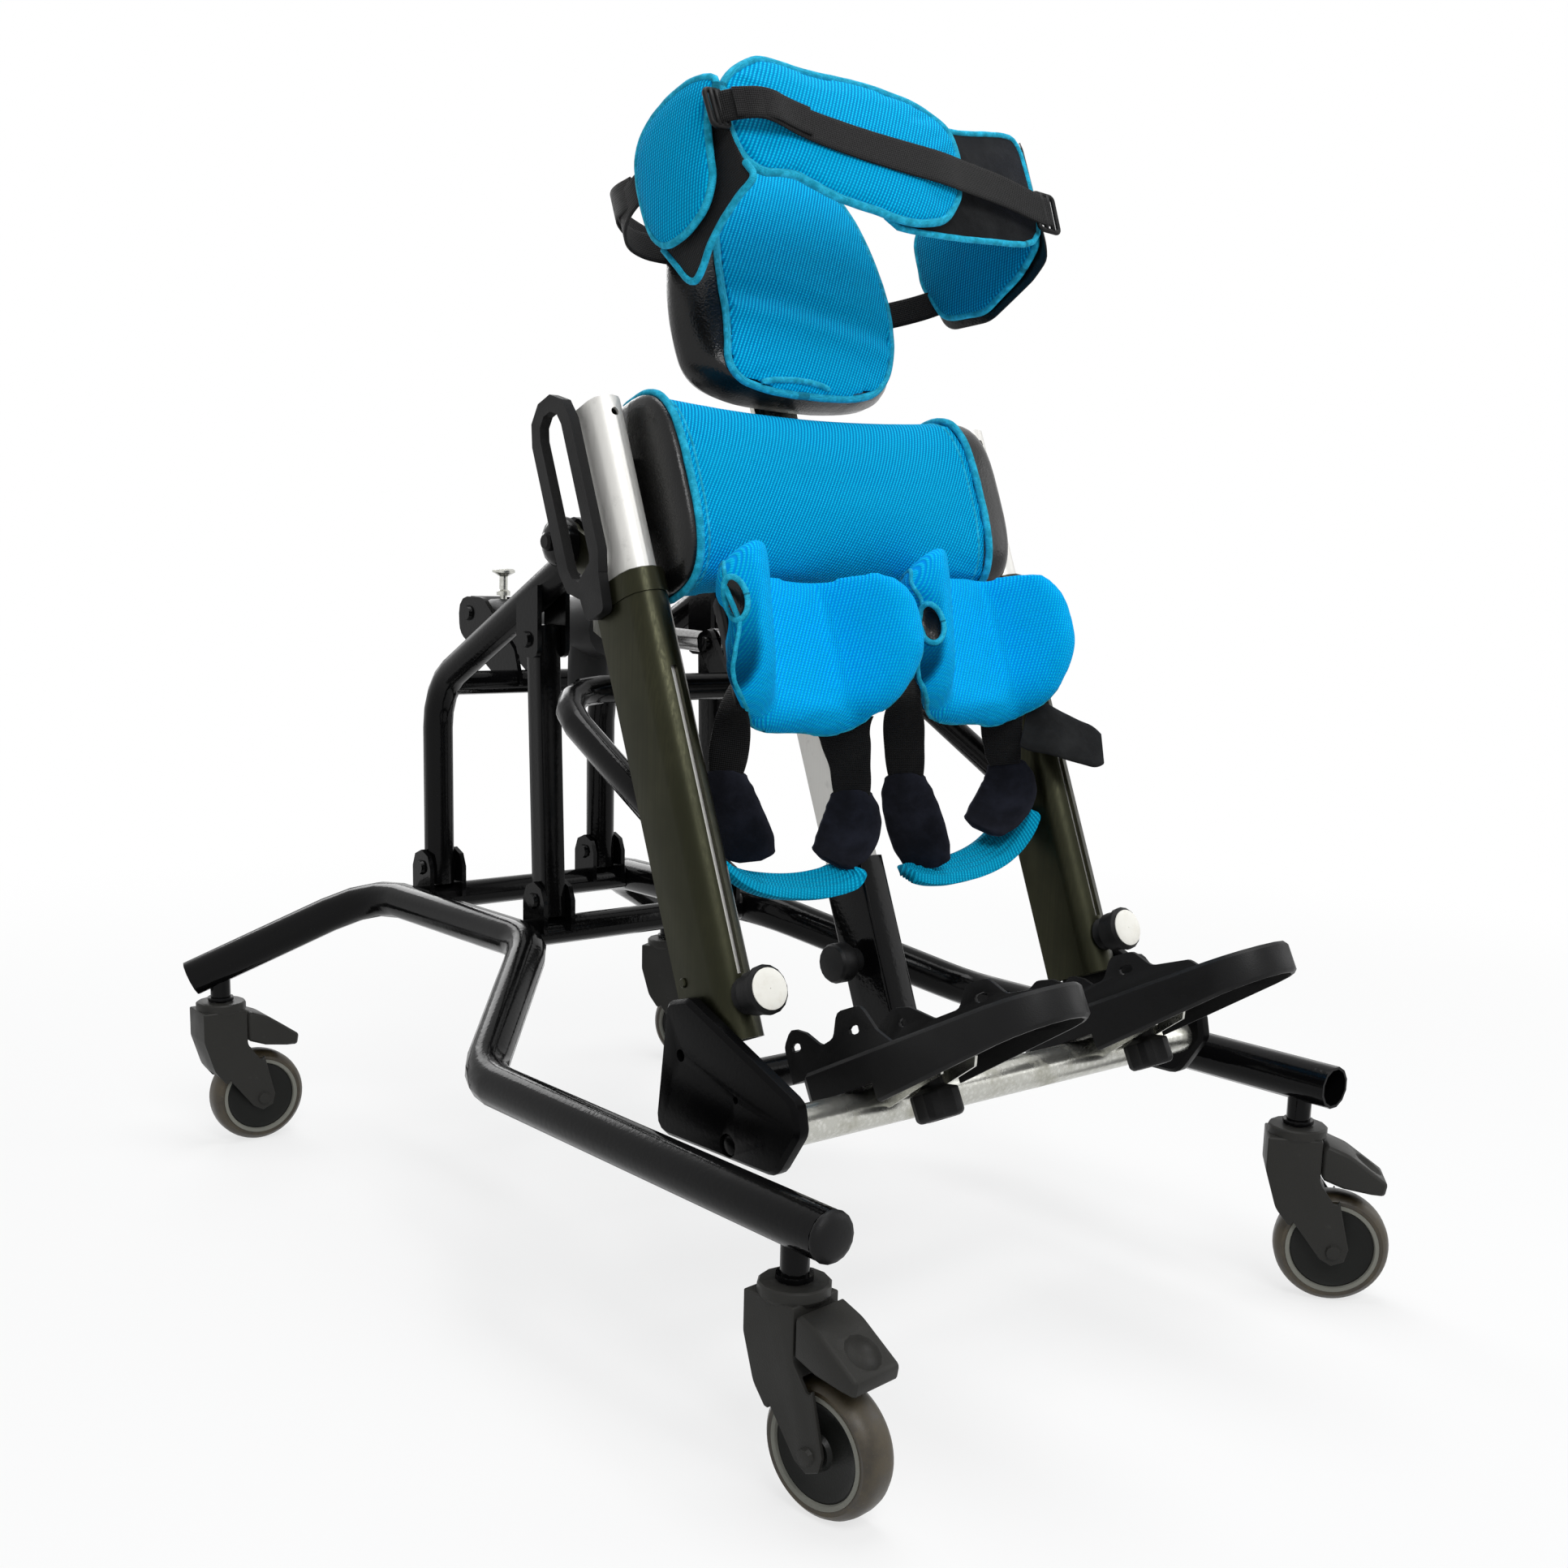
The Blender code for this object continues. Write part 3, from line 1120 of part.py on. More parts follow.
def pelvic(mats, lift):
    a, h = PELVIC_A, PELVIC_H
    steps = 14
    rings = []
    back = PELVIC_BACK - GAP
    for x, share, drop in ((-a / 2, 0.62, 0.010), (-a / 2 + 0.004, 0.84, 0.004), (-a / 2 + 0.012, 0.97, 0.0006),
                           (-a / 2 + 0.020, 1.0, 0.0), (-a / 2 + 0.0225, 0.985, 0.0), (-a / 2 + 0.026, 1.005, 0.0),
                           (-0.06, 1.02, 0.0), (0.06, 1.02, 0.0),
                           (a / 2 - 0.026, 1.005, 0.0), (a / 2 - 0.0225, 0.985, 0.0), (a / 2 - 0.020, 1.0, 0.0),
                           (a / 2 - 0.012, 0.97, 0.0006), (a / 2 - 0.004, 0.84, 0.004), (a / 2, 0.62, 0.010)):
        ring = []
        for i in range(steps + 1):
            t = math.pi * i / steps
            bulge = math.copysign(abs(math.cos(t)) ** 0.62, math.cos(t))
            out = math.sin(t) ** 0.62 if 0 < i < steps else 0.0
            ring.append((x, back - drop - (PELVIC_T + 0.012) * out * share, PELVIC_W + bulge * h / 2 * share))
        rings.append(ring)
    loft("pelvic_cushion", rings, mats["blue"], sharp=60, parent=lift)
    board = prism("pelvic_board", rectangle(a - 0.020, h - 0.020, 0.020, 5, (0.0, PELVIC_W)), PELVIC_BACK,
                  PELVIC_BACK + BOARD_T, mats["plastic"], "y", parent=lift)
    return board


def pelvic_bar(mats, lift):
    inner = POST_X - POST_A / 2 + POST_WALL + RUN - GAP
    low = PELVIC_BACK + BOARD_T + GAP
    bar = box("pelvic_bar", (2 * inner, BAR_T, 0.040), (0, low + BAR_T / 2, -0.035), mats["black"], parent=lift)
    bevel(bar, 0.0015)
    for hand in (-1, 1):
        flange = box("bar_flange_%d" % (hand + 1), (0.006, 0.040, 0.060), (hand * (inner - 0.003), low + 0.004, -0.035),
                     parent=lift)
        weld(bar, flange)
    return bar


CHEST_OUTLINE = [(-0.070, 0.046), (0.070, 0.046), (0.114, 0.092), (0.113, 0.150), (0.088, 0.232), (0.050, 0.264),
                 (-0.050, 0.264), (-0.088, 0.232), (-0.113, 0.150), (-0.114, 0.092)]


def chest(mats, slide):
    outline = rounded(CHEST_OUTLINE, [0.030, 0.030, 0.040, 0.060, 0.030, 0.030, 0.030, 0.030, 0.060, 0.040], 2)
    levels = [(inset, -height) for inset, height in cushion_levels(CHEST_T, 0.010)]
    shell_levels = [(0.022, 0.0), (0.010, -0.004), (0.003, -0.010), (0.001, -CHEST_SHELL_T + 0.003),
                    (0.003, -CHEST_SHELL_T)]
    back = CHEST_BACK + CHEST_SHELL_T
    pad("chest_shell", outline, shell_levels, mats["vinyl"], "y", location=(0, back, 0), parent=slide)
    pad("chest_cushion", outline, levels, mats["blue"], "y", location=(0, CHEST_BACK - GAP, 0), parent=slide)
    plate = box("chest_post", (0.050, 0.006, 0.250), (0, back + GAP + 0.003, 0.075), mats["zinc"], parent=slide)
    bevel(plate, 0.0012)
    for i in range(5):
        cut(plate, rod("chest_hole_%d" % i, 0.0085, back - 0.01, back + 0.02, "y", steps=10,
                       location=(0, 0, -0.030 + 0.024 * i), parent=slide))
    return plate


def strap_band(name, line, width, thick, mat, axis="z", **place):
    """Flat band along a line of points in a plane, its width along the axis."""
    put = PLANES[axis]
    left = []
    right = []
    for i, point in enumerate(line):
        here = Vector(point)
        a = (here - Vector(line[i - 1])).normalized() if i else (Vector(line[1]) - here).normalized()
        b = (Vector(line[i + 1]) - here).normalized() if i + 1 < len(line) else a
        mean = (a + b).normalized()
        normal = Vector((-mean.y, mean.x)) * (thick / 2 / max(0.5, mean.dot(a)))
        left.append(here + normal)
        right.append(here - normal)
    low, high = width
    rings = []
    for p, q in zip(left, right):
        rings.append([put(p.x, p.y, low), put(p.x, p.y, high), put(q.x, q.y, high), put(q.x, q.y, low)])
    return loft(name, rings, mat, **place)


def lateral_pad(side, mats, slide):
    tag = "left" if side < 0 else "right"
    if side < 0:
        corners = [(-0.352, 0.168), (-0.300, 0.130), (-0.256, 0.140), (-0.244, 0.222), (-0.300, 0.252), (-0.352, 0.244)]
    else:
        corners = [(-0.352, 0.150), (-0.290, 0.108), (-0.250, 0.104), (-0.222, 0.160), (-0.236, 0.222), (-0.352, 0.228)]
    outline = rounded(corners, [0.020, 0.030, 0.025, 0.035, 0.030, 0.012], 3)
    levels = [(0.004, 0.0), (0.0, 0.003), (0.0, 0.009), (0.004, WING_T), (0.016, WING_T + 0.0025),
              (None, WING_T + 0.0035)]
    sign = side
    levels = [(inset, sign * height) for inset, height in levels]
    return pad("lateral_pad_" + tag, outline, levels, mats["blue"], "x", location=(side * WING_X, 0, 0), parent=slide)


def belt(mats, slide):
    corners = [(-0.158, 0.142), (-0.120, 0.156), (-0.030, 0.144), (0.060, 0.137), (0.164, 0.130), (0.172, 0.168),
               (0.168, 0.222), (0.095, 0.236), (0.050, 0.249), (-0.060, 0.254), (-0.130, 0.262), (-0.158, 0.246)]
    outline = rounded(corners, [0.012, 0.02, 0.04, 0.04, 0.012, 0.02, 0.014, 0.03, 0.03, 0.03, 0.02, 0.014], 2)
    levels = [(inset, -height) for inset, height in
              ((0.004, 0.0), (0.0, 0.003), (0.0, 0.009), (0.004, BELT_T), (0.016, BELT_T + 0.0025),
               (None, BELT_T + 0.0035))]
    pad("belt_pad", outline, levels, mats["blue"], "y", location=(0, BELT_V, 0), parent=slide)
    front = BELT_V - BELT_T - 0.0035 - GAP - WEB_T / 2
    x = WING_X + WING_T + 0.0035 + GAP + WEB_T / 2
    bend = [(x, -0.300), (x, -0.350), (x - 0.003, BELT_V - 0.008), (x - 0.010, front)]
    line = [(-a, b) for a, b in bend] + bend[::-1]
    web = strap_band("belt_webbing", line, (0.186, 0.186 + WEB_W), WEB_T, mats["web"], parent=slide)
    buckles = []
    for hand, x in ((-1, -0.150), (1, 0.170)):
        buckle = box("belt_buckle_%d" % (hand + 1), (0.026, 0.007, 0.034), (x, front - 0.002, 0.186 + WEB_W / 2),
                     parent=slide)
        bevel(buckle, 0.0015)
        buckles.append(buckle)
    return weld(web, *buckles)


def rear_strap(side, mats, slide):
    tag = "left" if side < 0 else "right"
    low = 0.176 if side < 0 else 0.146
    x = WING_X - GAP - 0.0015
    back = CHEST_BACK + CHEST_SHELL_T + GAP + 0.0015
    line = [(0.055, back), (0.095, back), (0.126, back - 0.004), (0.148, back - 0.018), (0.1615, back - 0.038),
            (x, CHEST_BACK - 0.040), (x, CHEST_BACK - 0.090)]
    line = [(side * a, b) for a, b in line]
    return strap_band("rear_strap_" + tag, line, (low, low + 0.025), 0.003, mats["web"], parent=slide)


# Knee supports

def column_inner(mats, slide):
    slack = 2 * (COLUMN_WALL + RUN)
    a, b = COLUMN_A - slack, COLUMN_B - slack
    outer = rectangle(a, b, 0.0015, 3, (0, COLUMN_V))
    inner = rectangle(a - 0.005, b - 0.005, 0.001, 3, (0, COLUMN_V))
    put = PLANES["z"]
    rings = [[put(p, q, level) for p, q in outline] for outline, level in
             ((outer, KNEE_BAR_W + 0.030), (outer, COLUMN_TOP - 0.070), (inner, COLUMN_TOP - 0.070),
              (inner, KNEE_BAR_W + 0.026))]
    column = loft("knee_column_inner", rings, mats["silver"], parent=slide)
    front = COLUMN_V - b / 2
    arm_box = box("knee_arm", (0.020, front - KNEE_BAR_V, 0.030), (0, (front + KNEE_BAR_V) / 2, KNEE_BAR_W), parent=slide)
    bar = box("knee_bar", (2 * CUP_X + 0.030, 0.008, 0.030), (0, KNEE_BAR_V, KNEE_BAR_W), parent=slide)
    bevel(bar, 0.0015)
    weld(column, arm_box, bar)
    for hand in (-1, 1):
        stub = rod("knee_stub_%d" % (hand + 1), 0.010, KNEE_BAR_W - 0.019, KNEE_BAR_W + 0.019, "z", steps=10,
                   location=(hand * CUP_X, KNEE_BAR_V - KNEE_PIN, 0), parent=slide)
        ears = [box("knee_ear_%d_%d" % (hand + 1, k), (0.016, 0.022, 0.004), (hand * CUP_X, KNEE_BAR_V - 0.010,
                    KNEE_BAR_W + k * 0.013), parent=slide) for k in (-1, 1)]
        weld(column, *ears, stub)
    return column


def knee_cup(side, mats, slide):
    """Curved padded cup, hollow toward the knee, on an upright hinge pin."""
    tag = "left" if side < 0 else "right"
    turn = empty("knee_turn_" + tag, (side * CUP_X, KNEE_BAR_V - KNEE_PIN, 0), slide)
    corners = [(-0.048, -CUP_H / 2), (0.048, -CUP_H / 2), (CUP_A / 2, -0.022), (CUP_A / 2 - 0.004, CUP_H / 2),
               (-CUP_A / 2 + 0.004, CUP_H / 2), (-CUP_A / 2, -0.022)]
    outline = rounded([(a, b + CUP_W) for a, b in corners], [0.035, 0.035, 0.045, 0.024, 0.024, 0.045], 2)
    back = [(None, 0.0), (0.048, 0.0), (0.026, 0.0)]
    face = cushion_levels(CUP_T, 0.0, 0.008)[:-2] + [(0.026, CUP_T), (0.048, CUP_T), (None, CUP_T)]
    levels = [(inset, -height) for inset, height in back + face]
    cup = pad("knee_cup_" + tag, outline, levels, mats["blue"], "y", warp=lambda a, b: -CUP_CURVE * a * a,
              location=(0, CUP_V - KNEE_BAR_V + KNEE_PIN, 0), parent=turn)
    hinge = hollow_prism("cup_hinge_" + tag, arc_points((0, 0), 0.0095, 0, 2 * math.pi, 14)[:-1],
                         arc_points((0, 0), 0.005 + RUN / 2, 0, 2 * math.pi, 14)[:-1],
                         KNEE_BAR_W - 0.0105, KNEE_BAR_W + 0.0105, parent=turn)
    near, far = 0.0075, KNEE_BAR_V - KNEE_PIN - CUP_V - 0.0075 + 0.012
    lug = box("cup_lug_" + tag, (0.014, far, 0.020), (0, -near - far / 2, KNEE_BAR_W), parent=turn)
    return weld(cup, hinge, lug)


def calf_strap(side, mats, slide):
    """Strap and pad hanging plumb from the cup's back as a U, round the calf."""
    tag = "left" if side < 0 else "right"
    turn = bpy.data.objects["knee_turn_" + tag]
    top = CUP_W - CUP_H / 2 + 0.030
    half = 0.060
    low = -0.370
    line = [(-half, top), (-half - 0.004, top - 0.05), (-half - 0.001, low + 0.036), (-half + 0.014, low + 0.012)]
    line += [(-0.020, low), (0.020, low)]
    line += [(-a, b) for a, b in reversed(line[:4])]
    v = CUP_V - KNEE_BAR_V + KNEE_PIN - CUP_CURVE * (half - 0.0018) ** 2 + 2 * GAP
    strap = strap_band("calf_strap_" + tag, line, (v, v + 0.042), 0.005, mats["web"], axis="y", parent=turn)
    for vertex in strap.data.vertices:
        vertex.co.y += math.tan(LEAN) * (top - vertex.co.z)
    return strap


def make_materials():
    return {
        "black": paint("black_enamel", (0.012, 0.012, 0.013), 0.22),
        "post": paint("black_post", (0.030, 0.032, 0.022), 0.32, 0.6),
        "plastic": paint("black_plastic", (0.020, 0.020, 0.021), 0.5),
        "dark": paint("dark_grey_plastic", (0.05, 0.05, 0.052), 0.45),
        "silver": paint("silver_aluminium", (0.62, 0.61, 0.59), 0.35, 0.9),
        "zinc": paint("zinc_plate", (0.55, 0.54, 0.50), 0.4, 0.9),
        "chrome": paint("chrome_rod", (0.7, 0.7, 0.7), 0.15, 1.0),
        "white": paint("knob_disc", (0.82, 0.80, 0.74), 0.4),
        "tyre": paint("tyre_brown", (0.055, 0.045, 0.038), 0.55),
        "blue": paint("blue_spacer_mesh", (0.0, 0.28, 0.62), 0.85),
        "vinyl": paint("black_vinyl", (0.02, 0.02, 0.02), 0.45),
        "web": paint("black_webbing", (0.015, 0.015, 0.018), 0.85),
    }


def bounds_of(objects):
    depsgraph = bpy.context.evaluated_depsgraph_get()
    low = Vector((1e9,) * 3)
    high = Vector((-1e9,) * 3)
    for obj in objects:
        shape = obj.evaluated_get(depsgraph)
        for vertex in shape.data.vertices:
            p = shape.matrix_world @ vertex.co
            for i in range(3):
                low[i] = min(low[i], p[i])
                high[i] = max(high[i], p[i])
    return low, high


def main():
    clear_scene()
    mats = make_materials()
    root = empty("design_origin", (0, 0, 0))
    for side in (-1, 1):
        rail(side, mats, root)
        prop(side, mats, root)
    end_cap(mats, root)
    cross_tube("front_cross_tube", FRONT_CROSS_Y, PROP_SPREAD, PROP_PIN_Z, mats, root)
    cross_tube("rear_cross_tube", REAR_CROSS_Y, LEG_SPREAD, LEG_PIN_Z, mats, root)
    rear_frame(mats, root)
    at = rear_stem()
    places = {"front": (TRACK / 2, STEM_INSET), "rear": (at.x, at.y)}
    for tag, heading in HEADINGS.items():
        end, hand = tag.split("_")
        x, y = places[end]
        caster(tag, -x if hand == "left" else x, y, heading, mats, root)
    tilt = empty("tilt_axis", (0, PIVOT_Y, PIVOT_Z), root, (-LEAN, 0.0, 0.0))
    actuator(mats, root, tilt)
    lift = empty("post_slide", (0, 0, 0), tilt)
    chest_slide = empty("chest_slide", (0, 0, 0), lift)
    column_slide = empty("column_slide", (0, 0, 0), tilt)
    stay_tube(mats, tilt)
    column_outer(mats, tilt)
    column_knob(mats, tilt)
    foot_rail(mats, tilt)
    for side in (-1, 1):
        post_outer(side, mats, tilt)
        side_plate(side, mats, tilt)
        strap_loop(side, mats, tilt)
        post_knob(side, mats, tilt)
        post_inner(side, mats, lift)
        frame = foot_slider(side, mats, tilt)
        foot_knob(side, mats, frame)
        sandal(side, mats, frame)
        lateral_pad(side, mats, chest_slide)
        rear_strap(side, mats, chest_slide)
        knee_cup(side, mats, column_slide)
        calf_strap(side, mats, column_slide)
    pelvic(mats, lift)
    pelvic_bar(mats, lift)
    chest(mats, chest_slide)
    belt(mats, chest_slide)
    column_inner(mats, column_slide)
    bpy.context.view_layer.update()
    low, high = bounds_of([obj for obj in bpy.data.objects if obj.type == "MESH" and not obj.hide_render])
    root.location = (-(low.x + high.x) / 2, -(low.y + high.y) / 2, -low.z)
    bpy.context.view_layer.update()


main()
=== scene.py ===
import json
import math

import bmesh
import bpy
from mathutils import Matrix, Vector, noise
from mathutils.bvhtree import BVHTree


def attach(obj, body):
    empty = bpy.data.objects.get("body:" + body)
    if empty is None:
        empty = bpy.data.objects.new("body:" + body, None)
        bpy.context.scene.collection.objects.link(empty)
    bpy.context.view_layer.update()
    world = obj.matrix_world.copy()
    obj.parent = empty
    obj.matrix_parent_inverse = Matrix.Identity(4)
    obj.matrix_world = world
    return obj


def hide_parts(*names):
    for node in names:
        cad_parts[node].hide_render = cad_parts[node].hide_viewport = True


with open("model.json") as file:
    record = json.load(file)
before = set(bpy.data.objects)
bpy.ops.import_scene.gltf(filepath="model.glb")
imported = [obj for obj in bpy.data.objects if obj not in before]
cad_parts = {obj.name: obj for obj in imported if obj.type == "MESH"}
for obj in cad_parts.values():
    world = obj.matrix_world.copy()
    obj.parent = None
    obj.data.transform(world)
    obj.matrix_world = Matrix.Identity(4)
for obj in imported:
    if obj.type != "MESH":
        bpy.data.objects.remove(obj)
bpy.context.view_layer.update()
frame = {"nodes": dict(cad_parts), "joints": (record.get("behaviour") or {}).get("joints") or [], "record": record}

# Photograph: camera in the design's own frame, metres and degrees; focal length in pixels
PHOTO_SIZE = 1932
FOCAL = 2206.4
CENTRE_X = 976.3
CENTRE_Y = 1096.1
CAMERA_AT = Vector((-1.0488, -0.8388, 0.6390))
CAMERA_YAW = math.radians(40.437)
CAMERA_PITCH = math.radians(-10.344)
CAMERA_ROLL = math.radians(-1.482)
SENSOR = 36.0
PIVOT_DESIGN = Vector((0.0, 0.565, 0.652))      # tilt pivot in the design's own frame

# Tilting frame: x across, v back and w up along the posts, from the pivot
LEAN = math.radians(21.8)
JOINTS = {joint["name"]: joint for joint in frame["joints"]}
PIVOT = Vector(JOINTS["frame_tilt"]["pos_m"])
TILT = Matrix.Translation(PIVOT) @ Matrix.Rotation(-LEAN, 4, "X")
FROM_TILT = TILT.inverted()
UP = Vector((0, 0, 1))
HANDS = ((-1, "left"), (1, "right"))


def metres(given):
    """A number, point, list or table given in millimetres, in metres."""
    if isinstance(given, dict):
        return {key: metres(value) for key, value in given.items()}
    if isinstance(given, (list, tuple)):
        return type(given)(metres(value) for value in given)
    return given / 1000


# Shading of CAD nodes: degrees between faces above which an edge is sharp or gets a bevel
SHARP_ANGLE = 35.0
BEVEL_ANGLE = 32.0
WELD_GAP = 1e-5              # metres between points that are joined

# Finish of CAD nodes that look unlike their slot's own, by the start of their names
OWN_FINISH = {"side_plate": "plate_black", "caster_fork": "castor_plastic", "brake_pedal": "castor_plastic"}

# Edge radius given to CAD nodes by the start of their names
SOFTENED = metres({"caster_fork": 3.5, "brake_pedal": 3.2, "side_plate": 0.7, "sandal": 1.0,
                   "rail_end_cap": 3.0, "column_knob": 1.2, "foot_knob": 1.2})

# Covers, metres
PIPING_R = 0.0031
WIDE_PIPING_R = 0.0034       # of the pelvic, chest and belt pads
CORD_SIDES = 10
UNEVEN_SEED = 1              # of the noise that makes cords and covers uneven, the same in every run
MESH_PITCH = 0.0030
CLOTH_FRAMES = 20
CLOTH_STIFFNESS = 12.0

# Pelvic bolster, metres
PELVIC_MIDDLE = -0.040       # w of its middle
PELVIC_BACK = -0.1853
PELVIC_SEAMS = (-0.1770, 0.1500)        # x of the mesh panel's seams
PELVIC_END = 0.188
PELVIC_H = 0.165
PELVIC_DEEP = 0.060
PELVIC_STEPS = 26            # round the front of its section
PELVIC_SPANS = 22            # from seam to seam

# Chest support: outlines of its shell and padded face, and how its rim is built up
CHEST_OUTLINE = metres([(-66, 50), (66, 50), (112, 70), (116, 110), (110, 160), (88, 228), (50, 264),
                        (-50, 264), (-88, 228), (-110, 160), (-116, 110), (-112, 70)])
FACE_OUTLINE = metres([(-58, 50), (50, 50), (86, 68), (107, 108), (112, 160), (94, 232), (52, 268),
                       (-36, 262), (-66, 224), (-78, 160), (-81, 108), (-94, 66)])
CHEST_REAR = -0.1690
CHEST_SEAM = -0.2230
CHEST_MIDDLE = Vector((0.0, 0.150))
# Share of the way from shell to face, then how far in from the outline and forward of the rear, metres
SHELL_SIDE = [(0.0, 0.060, 0.0), (0.0, 0.034, 0.0), (0.0, 0.016, 0.003), (0.0, 0.006, 0.009),
              (0.0, 0.0005, 0.018), (0.03, -0.0005, 0.028), (0.22, 0.0, 0.038), (0.55, 0.0, 0.0475),
              (0.90, 0.0, 0.0525), (1.0, 0.004, 0.0532), (1.0, 0.050, 0.0535)]
FACE_SIDE = metres([(50, 0), (18, 0), (4, 0), (-0.8, 1), (0, 3.5), (4.5, 6.2), (13, 8), (26, 9.5),
                    (44, 10.5), (66, 11)])

# Knee cups, metres
CUP_MIDDLE = -0.197          # w of their middle
CUP_X = 0.099
CUP_BACK = -0.212
CUP_FLAT = 0.036             # half the flat back
CUP_BEND = 0.030
CUP_FLARE = math.radians(60)
CUP_DEEP = 0.024
CUP_INNER = CUP_FLAT + (CUP_BEND - CUP_DEEP) * math.tan(CUP_FLARE / 2)     # to the inner corner
CUP_CORNERS = metres([(-30, -52), (45, -56), (106, -44), (140, -4), (140, 50), (98, 64), (40, 67),
                      (-60, 73), (-124, 72), (-128, 50), (-122, 0), (-92, -34)])
CUP_RADII = metres([60, 70, 60, 50, 40, 60, 100, 50, 16, 30, 60, 50])
# Each cup's rolled lip, rise of its inner top edge and share of its right wing, as worn in
CUP_WEAR = {-1: (0.012, 0.014, 1.0), 1: (0.004, 0.020, 0.945)}
CUP_SHADE_RIM = 0.101           # along the cover, where the painted shade on the rims begins
SIGHT = Vector((0.774, 0.633, 0.0))         # from the photograph's camera into the cups, level
SIGHT_RIGHT = Vector((SIGHT.y, -SIGHT.x, 0.0))
SLOT_AT = {-1: Vector((-0.0905, -0.2795, -0.1545)), 1: Vector((-0.0850, -0.2800, -0.1760))}
SLOT_A = 0.0100              # half width of the oval slot
SLOT_B = 0.0165              # half its height
SLOT_SIDES = 28
HINGE_V = -0.188             # upright pin of a cup
HINGE_W = -0.190
HINGE_SIDES = 28
# Knuckle's profile of (radius, height), and the lug's sections of (v, half width, half height)
HINGE_PROFILE = metres([(5.6, -10.4), (8.8, -10.4), (9.6, -9.6), (9.6, 9.6), (8.8, 10.4), (5.6, 10.4)])
LUG_SECTIONS = metres([(-197.5, 5.5, 8), (-200, 7, 9.5), (-206, 8.5, 11.5), (-208.5, 12, 16)])

# Calf straps: (across from the leg's middle, height) on the plumb plane behind each cup; a third number is
# how far back of that plane
STRAP_TOP = -0.236
STRAP_PLANE = -0.2135
CALF_ACROSS = Vector((-0.50, 0.80, 0.33))
CALF_LEVEL = Vector((0.0, 0.80, 0.60))
CALF_WEB = metres({"outer": [40, 38, 34, 28], "inner": [56, 44, 36, 32]})
TAB_WIDTHS = metres([20, 38, 48, 53, 55, 54, 47, 26])
CALF_PAD_WIDTHS = metres([30, 42, 46, 48, 48, 48, 47, 44, 34])
CALF_LINES = metres({
    "left": {
        "outer": ([(-60, -205), (-64, -225), (-65, -243), (-68, -260), (-70, -274)],
                  [(-69.5, -270), (-68, -286), (-60, -304), (-49, -321), (-40, -340)]),
        "inner": ([(52, -238), (58, -256), (64, -276), (66.5, -298)],
                  [(66.5, -292), (70, -308), (69, -322), (60, -337), (45, -348)]),
        "pad": [(-80, -338), (-64, -350), (-40, -359), (-10, -364),
                (17.7, -366.5, -2.1), (41.2, -365.4, -6.4), (54.2, -362.1, -9.1),
                (58.2, -355.1, -9.1)]},
    "right": {
        "outer": ([(48, -240), (50, -256), (52, -270), (56, -282)],
                  [(58, -278), (66, -294), (64, -308), (48, -324), (30, -335)]),
        "inner": ([(-70, -208), (-74, -229), (-73.5, -250), (-71, -270), (-69, -285)],
                  [(-69, -282), (-65, -300), (-56, -320), (-46, -342), (-35, -362)]),
        "pad": [(-62, -366), (-40, -369), (-10, -368), (20, -364), (44, -357),
                (64, -345), (78, -331), (84, -322)]},
})
TAIL_ACROSS = Vector((0.15, 0.25, 1.0))
TAIL_WIDTHS = metres([50, 54, 52, 48, 34])
TAIL_LINE = metres([(59, -252.6, -20.8), (74.5, -262.8, -36.7), (97.8, -276.3, -49), (125, -287.7, -59.4)])

# Harness: tracks in the x-v plane, wings as (length along their track, w), the belt's parts as (x, w)
LEFT_TRACK = metres([(-170.5, -236), (-172.5, -280), (-173.5, -320), (-173.5, -354), (-172, -372),
                     (-168, -388)])
BASE_TRACK = metres([(-169, -256), (-171, -300), (-172.2, -340), (-172, -370), (-169, -385), (-157, -388),
                     (-135, -388.5)])
RIGHT_TRACK = metres([(183, -214), (184.8, -260), (185, -310), (184, -344), (179, -364), (160, -366.5),
                      (60, -367), (-40, -367)])
BELT_TRACK = metres([(-170, -356), (-164, -365.5), (-140, -369), (-60, -369.5), (30, -369.5), (80, -369)])
WING_PAD = (0.0095, 0.0040, 0.06)           # thickness, crown and share of its round edge
FLAT_TRACK = metres([(-60, -366.5), (60, -367.5), (150, -367.5), (176, -364)])
LEFT_WING = metres([(144, 217), (124, 203), (118, 170), (116, 152), (103, 137), (80, 130), (45, 132),
                    (29, 150), (25, 185), (30, 212), (44, 227), (75, 234), (119, 231)])
LEFT_BASE = metres([(124, 150), (130, 134), (110, 129), (86, 122), (66, 112), (46, 97), (34, 99),
                    (24, 117), (10, 140), (10, 190), (60, 214), (104, 224), (118, 218), (116, 180)])
RIGHT_WING = metres([(112, 133), (62, 122), (16, 139), (0, 180), (4, 233), (60, 238), (146, 238),
                     (150, 150)])
RIGHT_BASE = metres([(120, 124), (62, 114), (10, 130), (-2, 176), (0, 236), (60, 242), (152, 242),
                     (152, 134)])
RIGHT_RADII = metres([40, 40, 24, 34, 24, 40, 10, 20])
BELT_FACE = metres([(-166, 215), (-157, 229), (-136, 243), (-120, 246), (-79, 242), (-27, 245), (26, 241),
                    (56, 232), (71, 221), (76, 200), (66, 165), (57, 153), (40, 137), (19, 131), (-8, 129),
                    (-38, 134), (-76, 138), (-102, 147), (-117, 152), (-134, 151), (-150, 149),
                    (-163, 162)])
BELT_START = -0.1740         # x of the spots that lie at the start of the belt's track
BACK_PANEL = metres([(170, 137), (95, 130), (26, 126), (-30, 129), (-30, 236), (60, 228), (94, 228),
                     (140, 237), (168, 238), (172, 203)])
